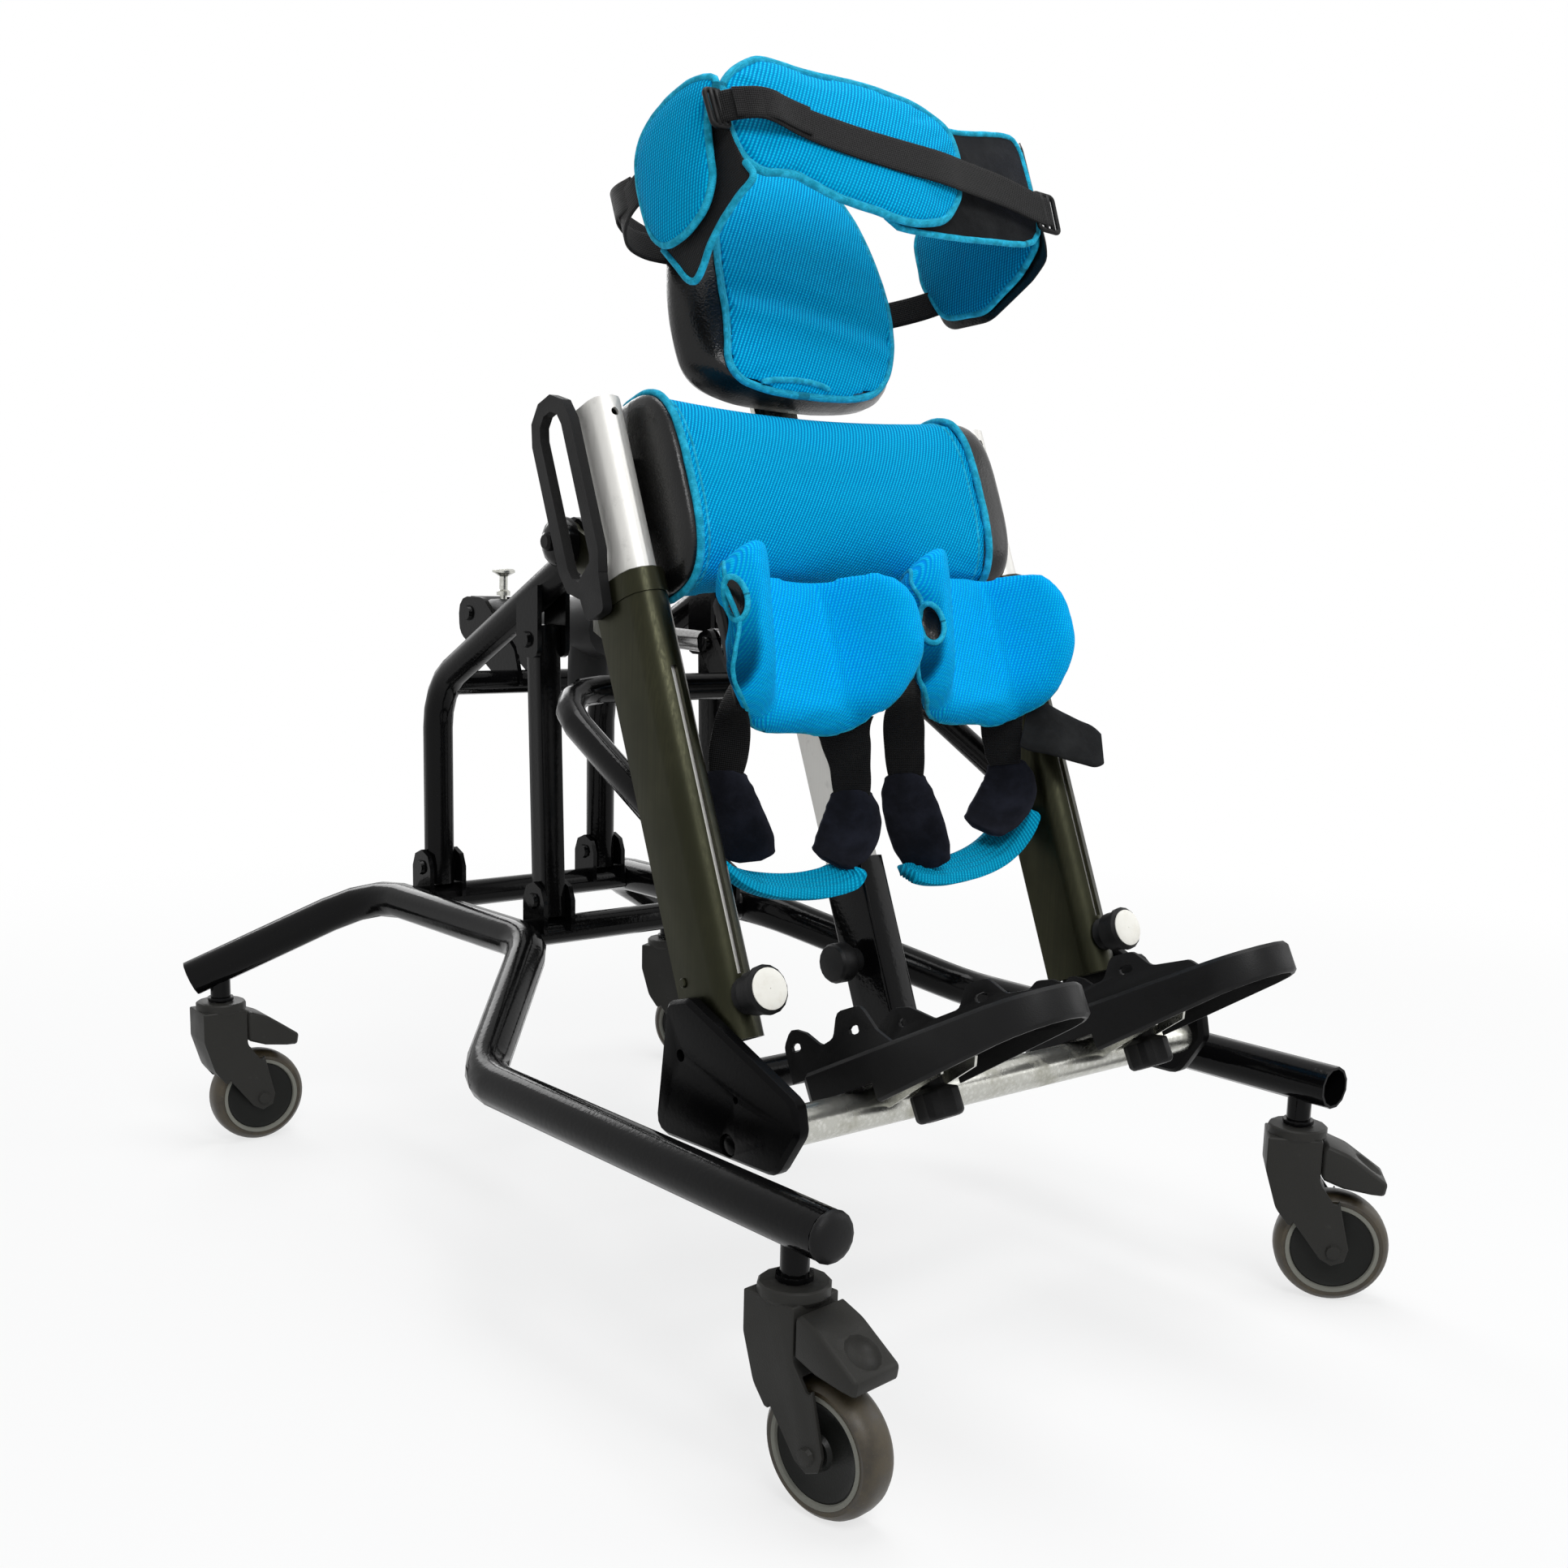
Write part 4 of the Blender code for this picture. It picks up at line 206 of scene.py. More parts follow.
WEB_LINE = metres([(-181.2, 194.5), (-175, 195), (-160, 194.5), (-145, 193.8), (-118, 191), (-91, 186.2),
                   (-50, 181.8), (-7, 178.8), (38, 177), (75, 178), (123, 175.5), (158, 166.5),
                   (176, 164)])
WEB_WIDTHS = metres([24, 25, 26, 27, 28, 29, 30, 31, 31, 30, 26])
WEB_FOLD = metres([(-172, 195.5), (-145, 195), (-120, 193), (-102, 190)])
REAR_START = metres([(56, -166.7), (90, -166.7), (115, -169), (138, -181)])
REAR_END = metres({"left": [(157, -208), (165.5, -235), (166.5, -270)],
                   "right": [(160, -199), (177, -218), (186.8, -240), (187.2, -260)]})
REAR_W = {"left": 0.2040, "right": 0.1585}
REAR_LOOP = metres([(82, -164, 4), (112, -164.5, 14), (132, -172, 20), (150, -190, 18), (161, -213, 10),
                    (164, -235, 4)])
LOOP_SPOTS = {"left": 6, "right": 3}        # how many points of the slack loop each strap has
LOCK_ROD = 0.0021

# Wheels: half profiles of (radius, distance in from the wheel's side)
WHEEL_HALF = 0.016
TYRE = metres([(39, 5), (40.5, 1.4), (44, 0.8), (47, 3.4), (49.2, 7.5), (50, 12)])
RING = metres([(35.6, 6), (36.6, 1.6), (37.2, 0.8), (40.4, 0.6), (40.8, 3), (38.5, 4.6)])
HUB = metres([(5.4, 1), (12, 0.8), (14, 4), (30, 4.6), (35, 2.6), (36.2, 3)])

# Studio: metres and watts
FLOOR_HALF = 12.0
FLOOR_FADE = (0.7, 2.4)      # radii between which the floor goes over into white
LIGHT_AIM = Vector((0.0, 0.0, 0.55))
LIGHTS = {"key": ((-1.2, -2.7, 2.9), (1.5, 1.5), 66.0), "fill": ((2.6, -1.6, 1.6), (1.8, 1.8), 16.0),
          "top": ((0.2, 0.0, 3.1), (2.2, 1.2), 44.0), "rim": ((0.6, 2.9, 1.9), (1.6, 1.2), 26.0)}
WHITE = (1.0, 1.0, 1.0)


# Finishes

def feed(tree, socket, value):
    """Links a socket to another, or sets its value."""
    if isinstance(value, bpy.types.NodeSocket):
        tree.links.new(value, socket)
    elif socket.type == "RGBA":
        socket.default_value = (*value[:3], 1.0)
    else:
        socket.default_value = value


def add_node(tree, kind, inputs=None, output=0, **props):
    """A node with its properties and inputs set; gives one of its outputs."""
    node = tree.nodes.new(kind)
    for key, value in props.items():
        setattr(node, key, value)
    for key, value in (inputs or {}).items():
        feed(tree, node.inputs[key], value)
    return node.outputs[output] if node.outputs else None


class Finish:
    """A Principled material with short calls that build its nodes."""

    def __init__(self, name, **sockets):
        self.material = bpy.data.materials.new(name)
        self.material.use_nodes = True
        self.tree = self.material.node_tree
        self.shader = self.tree.nodes["Principled BSDF"]
        self.done(**sockets)

    def done(self, **sockets):
        """The material, with sockets of its shader set; their names have underscores for spaces."""
        for name, value in sockets.items():
            feed(self.tree, self.shader.inputs[name.replace("_", " ")], value)
        return self.material

    def node(self, kind, inputs=None, output=0, **props):
        return add_node(self.tree, "ShaderNode" + kind, inputs, output, **props)

    def place(self):
        return self.node("TexCoord", output="Object")

    def weave(self):
        return self.node("UVMap", uv_map="Weave")

    def stretched(self, coords, scale, turn=0.0):
        return self.node("Mapping", {"Vector": coords, "Scale": scale, "Rotation": (turn, 0.0, 0.0)})

    def noise(self, coords, scale, detail=2.0, rough=0.5):
        inputs = {"Vector": coords, "Scale": scale, "Detail": detail, "Roughness": rough}
        return self.node("TexNoise", inputs)

    def cells(self, coords, scale, feature="F1"):
        return self.node("TexVoronoi", {"Vector": coords, "Scale": scale}, feature=feature)

    def maths(self, operation, a, b=0.0):
        return self.node("Math", {0: a, 1: b}, operation=operation)

    def times(self, a, b):
        return self.maths("MULTIPLY", a, b)

    def span(self, value, low, high, a=0.0, b=1.0):
        inputs = {"Value": value, "From Min": low, "From Max": high, "To Min": a, "To Max": b}
        return self.node("MapRange", inputs, interpolation_type="SMOOTHSTEP")

    def mix(self, share, a, b):
        return self.node("Mix", {0: share, 6: a, 7: b}, 2, data_type="RGBA")

    def wave(self, coords, angle, pitch):
        """Sine from 0 to 1 whose crests run across the given angle, a pitch apart."""
        turn = 2 * math.pi / pitch
        way = (turn * math.cos(angle), turn * math.sin(angle), 0.0)
        along = self.node("VectorMath", {0: coords, 1: way}, "Value", operation="DOT_PRODUCT")
        return self.span(self.maths("SINE", along), -1.0, 1.0)

    def bump(self, height, distance, normal=None):
        inputs = {"Height": height, "Distance": distance, "Strength": 1.0}
        if normal:
            inputs["Normal"] = normal
        return self.node("Bump", inputs)


def shade(colour, factor, lift=0.0):
    """The colour made darker or lighter."""
    return tuple(min(1.0, c * factor + lift) for c in colour)


def enamel(name, roughness, gloss):
    """Glossy black powder coat with faint orange peel, dust and rubbed patches."""
    f = Finish(name, Specular_IOR_Level=gloss)
    place = f.place()
    patches = f.noise(place, 9.0, 4.0, 0.6)
    dust = f.span(f.noise(place, 420.0, 3.0, 0.7), 0.66, 0.80)
    return f.done(Base_Color=f.mix(f.times(dust, 0.16), (0.0026, 0.0026, 0.0028), (0.12, 0.115, 0.10)),
                  Roughness=f.span(patches, 0.35, 0.75, roughness, roughness + 0.14),
                  Normal=f.bump(f.noise(place, 260.0, 2.0), 0.00012))


def post_finish(name):
    """Black anodised aluminium drawn along the post, with a painted olive reflection of greenish surroundings in
    its colour.
    """
    f = Finish(name, Metallic=0.8)
    lines = f.noise(f.stretched(f.place(), (420.0, 420.0, 6.0), LEAN), 1.0, 3.0, 0.6)
    cloud = f.noise(f.place(), 14.0, 3.0, 0.6)
    # Painted reflection: the olive tint stands in for greenish surroundings mirrored in the post.
    painted_olive_reflection = f.mix(f.span(cloud, 0.3, 0.7), (0.016, 0.0165, 0.0070), (0.026, 0.026, 0.0125))
    return f.done(Base_Color=f.mix(f.span(lines, 0.35, 0.7, 0.0, 0.5), painted_olive_reflection, (0.014, 0.0145, 0.007)),
                  Roughness=f.span(lines, 0.3, 0.7, 0.30, 0.42),
                  Normal=f.bump(lines, 0.00003))


def moulded(name, colour, roughness, grain=900.0):
    """Moulded plastic with fine spark grain and scuffs."""
    f = Finish(name, Specular_IOR_Level=0.15)
    place = f.place()
    scuffs = f.span(f.noise(place, 60.0, 6.0, 0.75), 0.60, 0.74)
    patches = f.noise(place, 25.0, 3.0)
    return f.done(Base_Color=f.mix(f.times(scuffs, 0.5), colour, shade(colour, 1.5, 0.004)),
                  Roughness=f.span(patches, 0.3, 0.7, roughness - 0.07, roughness + 0.09),
                  Normal=f.bump(f.cells(place, grain), 0.00006))


def satin_silver(name):
    """Silver anodised extrusion: fine lines along the post and handling marks."""
    f = Finish(name, Metallic=0.62)
    colour = (0.70, 0.69, 0.66)
    lines = f.noise(f.stretched(f.place(), (700.0, 700.0, 5.0), LEAN), 1.0, 3.0, 0.7)
    marks = f.span(f.noise(f.place(), 45.0, 5.0, 0.7), 0.58, 0.72)
    return f.done(Base_Color=f.mix(f.times(marks, 0.5), colour, shade(colour, 0.72)),
                  Roughness=f.span(lines, 0.3, 0.7, 0.44, 0.60),
                  Normal=f.bump(lines, 0.00003))


def zinc(name):
    """Bright zinc plate: small spangles, brushed one way, a little tarnish."""
    f = Finish(name, Metallic=0.95)
    place = f.place()
    tarnish = f.span(f.noise(place, 30.0, 5.0, 0.7), 0.5, 0.72)
    base = f.mix(f.span(f.cells(place, 260.0), 0.0, 0.7), (0.62, 0.62, 0.58), (0.50, 0.50, 0.46))
    brushed = f.noise(f.stretched(place, (900.0, 40.0, 900.0)), 1.0, 2.0)
    return f.done(Base_Color=f.mix(f.times(tarnish, 0.55), base, (0.30, 0.29, 0.22)),
                  Roughness=f.span(tarnish, 0.0, 1.0, 0.26, 0.48),
                  Normal=f.bump(brushed, 0.00004))


def chrome(name):
    """Oiled, darkened chrome with fine turning streaks."""
    f = Finish(name, Metallic=1.0)
    streak = f.noise(f.stretched(f.place(), (30.0, 900.0, 900.0)), 1.0, 2.0)
    return f.done(Base_Color=f.mix(f.span(streak, 0.4, 0.7), (0.34, 0.34, 0.34), (0.26, 0.255, 0.25)),
                  Roughness=f.span(streak, 0.3, 0.7, 0.14, 0.26))


def cream_disc(name):
    """Clear-lacquered cream cap of a clamp knob."""
    f = Finish(name, Roughness=0.30)
    place = f.place()
    stain = f.span(f.noise(place, 90.0, 5.0, 0.7), 0.45, 0.75)
    return f.done(Base_Color=f.mix(f.times(stain, 0.35), (0.88, 0.865, 0.80), (0.70, 0.66, 0.56)),
                  Normal=f.bump(f.noise(place, 500.0, 2.0), 0.00004))


def tyre_rubber(name):
    """Brown translucent rubber with a dusty, slightly scratched tread."""
    f = Finish(name, Subsurface_Weight=0.15, Subsurface_Radius=(0.004, 0.003, 0.001), Subsurface_Scale=1.0)
    place = f.place()
    smoke = f.noise(place, 35.0, 4.0, 0.65)
    base = f.mix(f.span(smoke, 0.35, 0.7), (0.022, 0.016, 0.008), (0.055, 0.042, 0.022))
    dust = f.span(f.noise(place, 260.0, 4.0, 0.75), 0.60, 0.74)
    return f.done(Base_Color=f.mix(f.times(dust, 0.2), base, (0.18, 0.16, 0.12)),
                  Roughness=f.span(smoke, 0.3, 0.7, 0.34, 0.55),
                  Normal=f.bump(f.noise(place, 900.0, 3.0), 0.00008))


def painted_cup_shade(f, weave, cloud):
    """Share of painted shade on a knee cup's cover: at its rims, most of all low down, and under it."""
    along = f.node("SeparateXYZ", {"Vector": weave}, 0)
    height = f.node("SeparateXYZ", {"Vector": weave}, 1)
    # Noise makes the edge of the painted shade uneven.
    ragged_edge = f.times(f.maths("SUBTRACT", cloud, 0.5), 0.03)
    rim = f.span(f.maths("ADD", along, ragged_edge), -CUP_SHADE_RIM - 0.008, -CUP_SHADE_RIM + 0.004, 0.94, 0.0)
    high = f.maths("ADD", height, ragged_edge)
    low = f.span(high, CUP_MIDDLE - 0.020, CUP_MIDDLE + 0.060, 1.0, 0.15)
    under = f.span(high, CUP_MIDDLE - 0.075, CUP_MIDDLE - 0.030, 0.35, 0.0)
    return f.maths("MAXIMUM", f.times(rim, low), under)


def spacer_mesh(name, light, dark, with_painted_shade=False):
    """Knitted spacer mesh: slanting rows of knots with darker holes between them."""
    f = Finish(name, Sheen_Weight=0.08, Sheen_Roughness=0.5, Sheen_Tint=(0.10, 0.7, 1.0),
               Specular_IOR_Level=0.08, Specular_Tint=(0.1, 0.7, 1.0))
    weave = f.weave()
    rows = f.wave(weave, math.radians(150), MESH_PITCH)
    knots = f.wave(weave, math.radians(80), MESH_PITCH * 0.80)
    thread = f.times(rows, f.span(knots, 0.0, 1.0, 0.45, 1.0))
    cloud = f.noise(weave, 16.0, 4.0, 0.6)
    base = f.mix(f.span(thread, 0.05, 0.75), dark, light)
    faded = f.mix(f.span(cloud, 0.30, 0.72, 0.0, 0.22), base, shade(light, 0.62))
    fuzz = f.times(f.span(f.noise(weave, 900.0, 3.0, 0.8), 0.56, 0.72), 0.16)
    colour = f.mix(fuzz, faded, (0.03, 0.58, 0.95))
    # Painted shade: the knee cups' rims and lower parts are darkened in the colour.
    if with_painted_shade:
        colour = f.mix(painted_cup_shade(f, weave, cloud), colour, shade(dark, 0.10))
    wander = f.times(f.noise(weave, 40.0, 2.0), 0.3)
    soft = f.bump(f.maths("ADD", cloud, wander), 0.0016)
    return f.done(Base_Color=colour, Roughness=f.span(thread, 0.0, 1.0, 0.92, 0.66),
                  Normal=f.bump(thread, 0.0007, soft))


def binding(name):
    """Sewn teal edge tape: fine cross ribs, a stitch line and worn fibres."""
    f = Finish(name, Roughness=0.72, Sheen_Weight=0.10, Sheen_Roughness=0.4, Sheen_Tint=(0.2, 0.8, 1.0),
               Specular_IOR_Level=0.15)
    colour = (0.006, 0.40, 0.62)
    weave = f.weave()
    ribs = f.wave(weave, 0.0, 0.0011)
    worn = f.noise(weave, 120.0, 4.0, 0.7)
    base = f.mix(f.span(worn, 0.35, 0.7), shade(colour, 0.75), shade(colour, 1.45, 0.02))
    return f.done(Base_Color=f.mix(f.span(ribs, 0.0, 1.0, 0.0, 0.25), base, shade(colour, 0.6)),
                  Normal=f.bump(ribs, 0.0002, f.bump(worn, 0.0008)))


def vinyl(name):
    """Black upholstery vinyl with a pebbled grain and a soft shine."""
    f = Finish(name, Specular_IOR_Level=0.28)
    place = f.place()
    grain = f.cells(place, 620.0, "SMOOTH_F1")
    rubbed = f.noise(place, 18.0, 4.0, 0.6)
    worn = f.span(rubbed, 0.4, 0.75)
    return f.done(Base_Color=f.mix(worn, (0.004, 0.004, 0.004), (0.008, 0.0078, 0.0075)),
                  Roughness=f.span(rubbed, 0.3, 0.7, 0.20, 0.34),
                  Normal=f.bump(grain, 0.00018, f.bump(rubbed, 0.0008)))


def webbing(name):
    """Woven polyester webbing: ribs across and yarns along."""
    f = Finish(name, Roughness=0.62, Sheen_Weight=0.03, Sheen_Roughness=0.4, Specular_IOR_Level=0.12)
    weave = f.weave()
    ribs = f.wave(weave, 0.0, 0.0016)
    yarn = f.wave(weave, math.radians(90), 0.0018)
    worn = f.noise(weave, 45.0, 4.0, 0.7)
    base = f.mix(f.span(ribs, 0.1, 0.9), (0.0022, 0.0022, 0.0024), (0.0075, 0.0075, 0.0078))
    return f.done(Base_Color=f.mix(f.span(worn, 0.5, 0.75, 0.0, 0.25), base, (0.018, 0.0175, 0.0165)),
                  Normal=f.bump(f.maths("ADD", ribs, f.times(yarn, 0.5)), 0.00045))


def neoprene(name, colour):
    """Soft brushed neoprene or hook-and-loop tape, nearly black."""
    f = Finish(name, Roughness=0.88, Sheen_Weight=0.14, Sheen_Roughness=0.35, Sheen_Tint=(0.35, 0.4, 0.6),
               Specular_IOR_Level=0.12)
    weave = f.weave()
    nap = f.noise(weave, 1400.0, 3.0, 0.8)
    cloud = f.noise(weave, 35.0, 4.0, 0.6)
    return f.done(Base_Color=f.mix(f.span(cloud, 0.35, 0.75), colour, shade(colour, 2.6)),
                  Normal=f.bump(nap, 0.0003, f.bump(cloud, 0.0012)))


def make_finishes():
    makers = {
        "black_enamel": (enamel, 0.10, 0.11),
        "plate_black": (enamel, 0.22, 0.05),
        "castor_plastic": (moulded, (0.024, 0.0235, 0.0215), 0.46),
        "black_post": (post_finish,),
        "black_plastic": (moulded, (0.0065, 0.0065, 0.0068), 0.48),
        "dark_grey_plastic": (moulded, (0.020, 0.020, 0.0205), 0.5),
        "silver_aluminium": (satin_silver,),
        "zinc_plate": (zinc,),
        "chrome_rod": (chrome,),
        "knob_disc": (cream_disc,),
        "tyre_brown": (tyre_rubber,),
        "blue_spacer_mesh": (spacer_mesh, (0.0015, 0.60, 1.0), (0.0005, 0.20, 0.50)),
        # The knee cups' mesh carries painted shade at its rims and low down.
        "blue_knee_mesh": (spacer_mesh, (0.0015, 0.60, 1.0), (0.0006, 0.31, 0.88), True),
        "blue_lining": (spacer_mesh, (0.002, 0.40, 0.72), (0.0008, 0.12, 0.27)),
        "calf_mesh": (spacer_mesh, (0.006, 0.50, 0.80), (0.001, 0.22, 0.42)),
        "teal_binding": (binding,),
        "black_vinyl": (vinyl,),
        "black_webbing": (webbing,),
        "navy_neoprene": (neoprene, (0.006, 0.0065, 0.010)),
        "hook_tape": (neoprene, (0.0050, 0.0052, 0.0052)),
        "ring_grey": (moulded, (0.19, 0.19, 0.165), 0.5, 700.0),
        "hub_dark": (moulded, (0.008, 0.0085, 0.0075), 0.42, 700.0),
    }
    return {name: make(name, *looks) for name, (make, *looks) in makers.items()}


FINISH = make_finishes()


def smoothing():
    """Node group that joins the triangles of a CAD node and shades them by angle."""
    group = bpy.data.node_groups.new("shade_by_angle", "GeometryNodeTree")
    for way in ("INPUT", "OUTPUT"):
        group.interface.new_socket("Geometry", in_out=way, socket_type="NodeSocketGeometry")
    mesh = add_node(group, "NodeGroupInput")
    mesh = add_node(group, "GeometryNodeMergeByDistance", {0: mesh, "Distance": WELD_GAP})
    mesh = add_node(group, "GeometryNodeRemoveAttribute", {0: mesh, "Name": "custom_normal"})
    mesh = add_node(group, "GeometryNodeSetShadeSmooth", {0: mesh, "Shade Smooth": True}, domain="FACE")
    angle = add_node(group, "GeometryNodeInputMeshEdgeAngle")
    steep = add_node(group, "FunctionNodeCompare", {0: angle, 1: math.radians(SHARP_ANGLE)},
                     data_type="FLOAT", operation="GREATER_THAN")
    sharp = {0: mesh, "Selection": steep, "Shade Smooth": False}
    mesh = add_node(group, "GeometryNodeSetShadeSmooth", sharp, domain="EDGE")
    add_node(group, "NodeGroupOutput", {0: mesh})
    return group


def by_start(table, name, default=None):
    """The value of the table's key that the name starts with."""
    return next((value for key, value in table.items() if name.startswith(key)), default)


def dress_nodes():
    """Give every CAD node the finish of its material slot in the record, and smooth shading."""
    group = smoothing()
    for row in frame["record"]["subparts"]:
        obj = frame["nodes"][row["node"]]
        obj.data.materials.clear()
        obj.data.materials.append(FINISH[by_start(OWN_FINISH, row["node"], row["material_slot"])])
        width = by_start(SOFTENED, row["node"])
        if width:
            join = obj.modifiers.new("join", "WELD")
            join.merge_threshold = WELD_GAP
            edge = obj.modifiers.new("edge", "BEVEL")
            edge.width = width
            edge.segments = 3
            edge.limit_method = "ANGLE"
            edge.angle_limit = math.radians(BEVEL_ANGLE)
            edge.use_clamp_overlap = True
        shading = obj.modifiers.new("shade", "NODES")
        shading.node_group = group


# Meshes

def piece(name, verts, faces, finish, body, replaced=(), weave=None, slot=None, place=TILT, smooth=None):
    """A mesh from points in the tilting frame, riding on a body; weave gives cloth coordinates, metres."""
    mesh = bpy.data.meshes.new(name)
    mesh.from_pydata([tuple(v) for v in verts], [], faces)
    work = bmesh.new()
    work.from_mesh(mesh)
    bmesh.ops.recalc_face_normals(work, faces=work.faces)
    work.to_mesh(mesh)
    work.free()
    mesh.shade_smooth()
    if smooth:
        mesh.set_sharp_from_angle(angle=math.radians(smooth))
    if weave:
        lay_weave(mesh, weave)
    mesh.transform(place)
    mesh.materials.append(FINISH[finish])
    obj = bpy.data.objects.new(name, mesh)
    bpy.context.scene.collection.objects.link(obj)
    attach(obj, body)
    if replaced:
        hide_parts(*replaced)
    return obj


def lay_weave(mesh, weave):
    """Cloth coordinates in metres; weave is a function of the point, or a list with one per vertex."""
    layer = mesh.uv_layers.get("Weave") or mesh.uv_layers.new(name="Weave")
    spots = [weave(v.co) for v in mesh.vertices] if callable(weave) else weave
    for loop in mesh.loops:
        layer.data[loop.index].uv = spots[loop.vertex_index]


def rounded(corners, radii, steps=6):
    """A closed outline with its corners rounded, one radius per corner."""
    out = []
    count = len(corners)
    for i, corner in enumerate(corners):
        here = Vector(corner)
        before = Vector(corners[i - 1]) - here
        after = Vector(corners[(i + 1) % count]) - here
        half = before.angle(after) / 2
        if half > 1.55:
            out.append(tuple(corner))
            continue
        reach = min(radii[i] / math.tan(half), 0.49 * before.length, 0.49 * after.length)
        r = reach * math.tan(half)
        centre = here + (before.normalized() + after.normalized()).normalized() * (r / math.sin(half))
        a = here + before.normalized() * reach - centre
        b = here + after.normalized() * reach - centre
        turn = 1.0 if a.x * b.y - a.y * b.x > 0 else -1.0
        for k in range(steps + 1):
            t = turn * a.angle(b) * k / steps
            c, s = math.cos(t), math.sin(t)
            out.append((centre.x + a.x * c - a.y * s, centre.y + a.x * s + a.y * c))
    return out


def rounded_box(a, b, radius):
    """Outline of a box with rounded corners, from its half sizes."""
    return rounded([(-a, -b), (a, -b), (a, b), (-a, b)], [radius] * 4, 4)


def spaced(outline, step, closed=True):
    """The outline with points no further apart than step."""
    out = []
    pairs = zip(outline, outline[1:] + outline[:1]) if closed else zip(outline, outline[1:])
    for a, b in pairs:
        a, b = Vector(a), Vector(b)
        n = max(1, math.ceil((b - a).length / step))
        out += [tuple(a.lerp(b, k / n)) for k in range(n)]
    if not closed:
        out.append(tuple(outline[-1]))
    return out


def smooth_line(points, passes=2, closed=True):
    """Corner-cutting that turns a few points into a soft curve."""
    line = [Vector(p) for p in points]
    for _ in range(passes):
        out = []
        pairs = list(zip(line, line[1:] + line[:1])) if closed else list(zip(line, line[1:]))
        for a, b in pairs:
            out += [a.lerp(b, 0.25), a.lerp(b, 0.75)]
        if not closed:
            out = [line[0]] + out + [line[-1]]
        line = out
    return line


def skin(rings, capped=True, closed=False):
    """Points and faces of a skin over equal rings."""
    n = len(rings[0])
    verts = [p for ring in rings for p in ring]
    pairs = [(i, i + 1) for i in range(len(rings) - 1)]
    if closed:
        pairs.append((len(rings) - 1, 0))
    faces = []
    for low, high in pairs:
        for i in range(n):
            j = (i + 1) % n
            faces.append((low * n + i, low * n + j, high * n + j, high * n + i))
    if capped and not closed:
        faces.append(tuple(range(n)))
        faces.append(tuple(range((len(rings) - 1) * n, len(rings) * n)))
    return verts, faces


def skinned(name, rings, finish, body, replaced=(), closed=False, **more):
    """A piece whose mesh is a skin over rings."""
    verts, faces = skin(rings, closed=closed)
    return piece(name, verts, faces, finish, body, replaced, **more)


def sweep(points, profile, closed=True, up=UP):
    """Rings of a profile (across, out) carried along a line without twist; with cloth coordinates."""
    line = [Vector(p) for p in points]
    n = len(line)
    rings, weave = [], []
    along = 0.0
    normal = up
    rim = [0.0]
    for a, b in zip(profile, profile[1:]):
        rim.append(rim[-1] + math.dist(a, b))
    for i, here in enumerate(line):
        ahead = line[(i + 1) % n] if closed or i + 1 < n else here
        behind = line[i - 1] if closed or i else here
        tangent = (ahead - behind).normalized()
        normal = (normal - tangent * normal.dot(tangent)).normalized()
        side = tangent.cross(normal)
        rings.append([here + side * a + normal * b for a, b in profile])
        if i:
            along += (here - line[i - 1]).length
        weave += [(along, r) for r in rim]
    return rings, weave


def circle(radius):
    """Profile of a cord."""
    turns = [2 * math.pi * i / CORD_SIDES for i in range(CORD_SIDES)]
    return [(radius * math.cos(a), radius * math.sin(a)) for a in turns]


def piping(name, points, body, radius=PIPING_R, closed=True, wobble=0.0004):
    """Sewn edge cord along a line, slightly uneven."""
    line = [p + noise.noise_vector(p * 70.0) * wobble for p in map(Vector, points)]
    rings, weave = sweep(line, circle(radius), closed)
    return skinned(name, rings, "teal_binding", body, closed=closed, weave=weave, slot="blue_spacer_mesh")


class Track:
    """A smooth line in the x-v plane; gives the point at a length along it and a distance out from it."""

    def __init__(self, points):
        self.line = smooth_line(points, 3, closed=False)
        self.reach = [0.0]
        for a, b in zip(self.line, self.line[1:]):
            self.reach.append(self.reach[-1] + (b - a).length)

    def at(self, s, out):
        s = min(max(s, 0.0), self.reach[-1])
        i = 0
        while i + 2 < len(self.reach) and self.reach[i + 1] < s:
            i += 1
        a, b = self.line[i], self.line[i + 1]
        share = (s - self.reach[i]) / max(1e-9, self.reach[i + 1] - self.reach[i])
        p = a.lerp(b, share)
        before = self.line[max(0, i - 1)]
        after = self.line[min(len(self.line) - 1, i + 2)]
        way = ((b - before).normalized().lerp((after - a).normalized(), share)).normalized()
        return p.x + way.y * out, p.y - way.x * out


def quilt(name, outline, track, levels, finish, body, replaced=(), slot=None, drift=None, step=0.006,
          place=TILT):
    """A padded panel: an outline in (length along the track, w), thickened outward by levels of
    (share of the outline, offset); drift may shift a point by its offset."""
    outline = spaced(outline, step)
    n = len(outline)
    cs = sum(s for s, w in outline) / n
    cw = sum(w for s, w in outline) / n
    verts, weave, rings = [], [], []
    for share, out in levels:
        first = len(verts)
        count = 1 if share == 0.0 else n
        for s, w in outline[:count]:
            s = cs + (s - cs) * share
            w = cw + (w - cw) * share
            deep = out
            if drift:
                s, w, deep = drift(s, w, out)
            x, v = track.at(s, deep)
            verts.append((x, v, w))
            weave.append((s, w))
        rings.append(range(first, first + count))
    faces = []
    for low, high in zip(rings, rings[1:]):
        for i in range(n):
            j = (i + 1) % n
            if len(low) == 1:
                faces.append((low[0], high[i], high[j]))
            elif len(high) == 1:
                faces.append((low[i], low[j], high[0]))
            else:
                faces.append((low[i], low[j], high[j], high[i]))
    return piece(name, verts, faces, finish, body, replaced, weave, slot, place)


def layers(back, shares, rim, face, face_shares=None):
    """Levels of a panel: its back at some shares of the outline, its rim, and its face."""
    face_shares = face_shares or shares[::-1]
    return [(share, back) for share in shares] + rim + [(share, face) for share in face_shares]


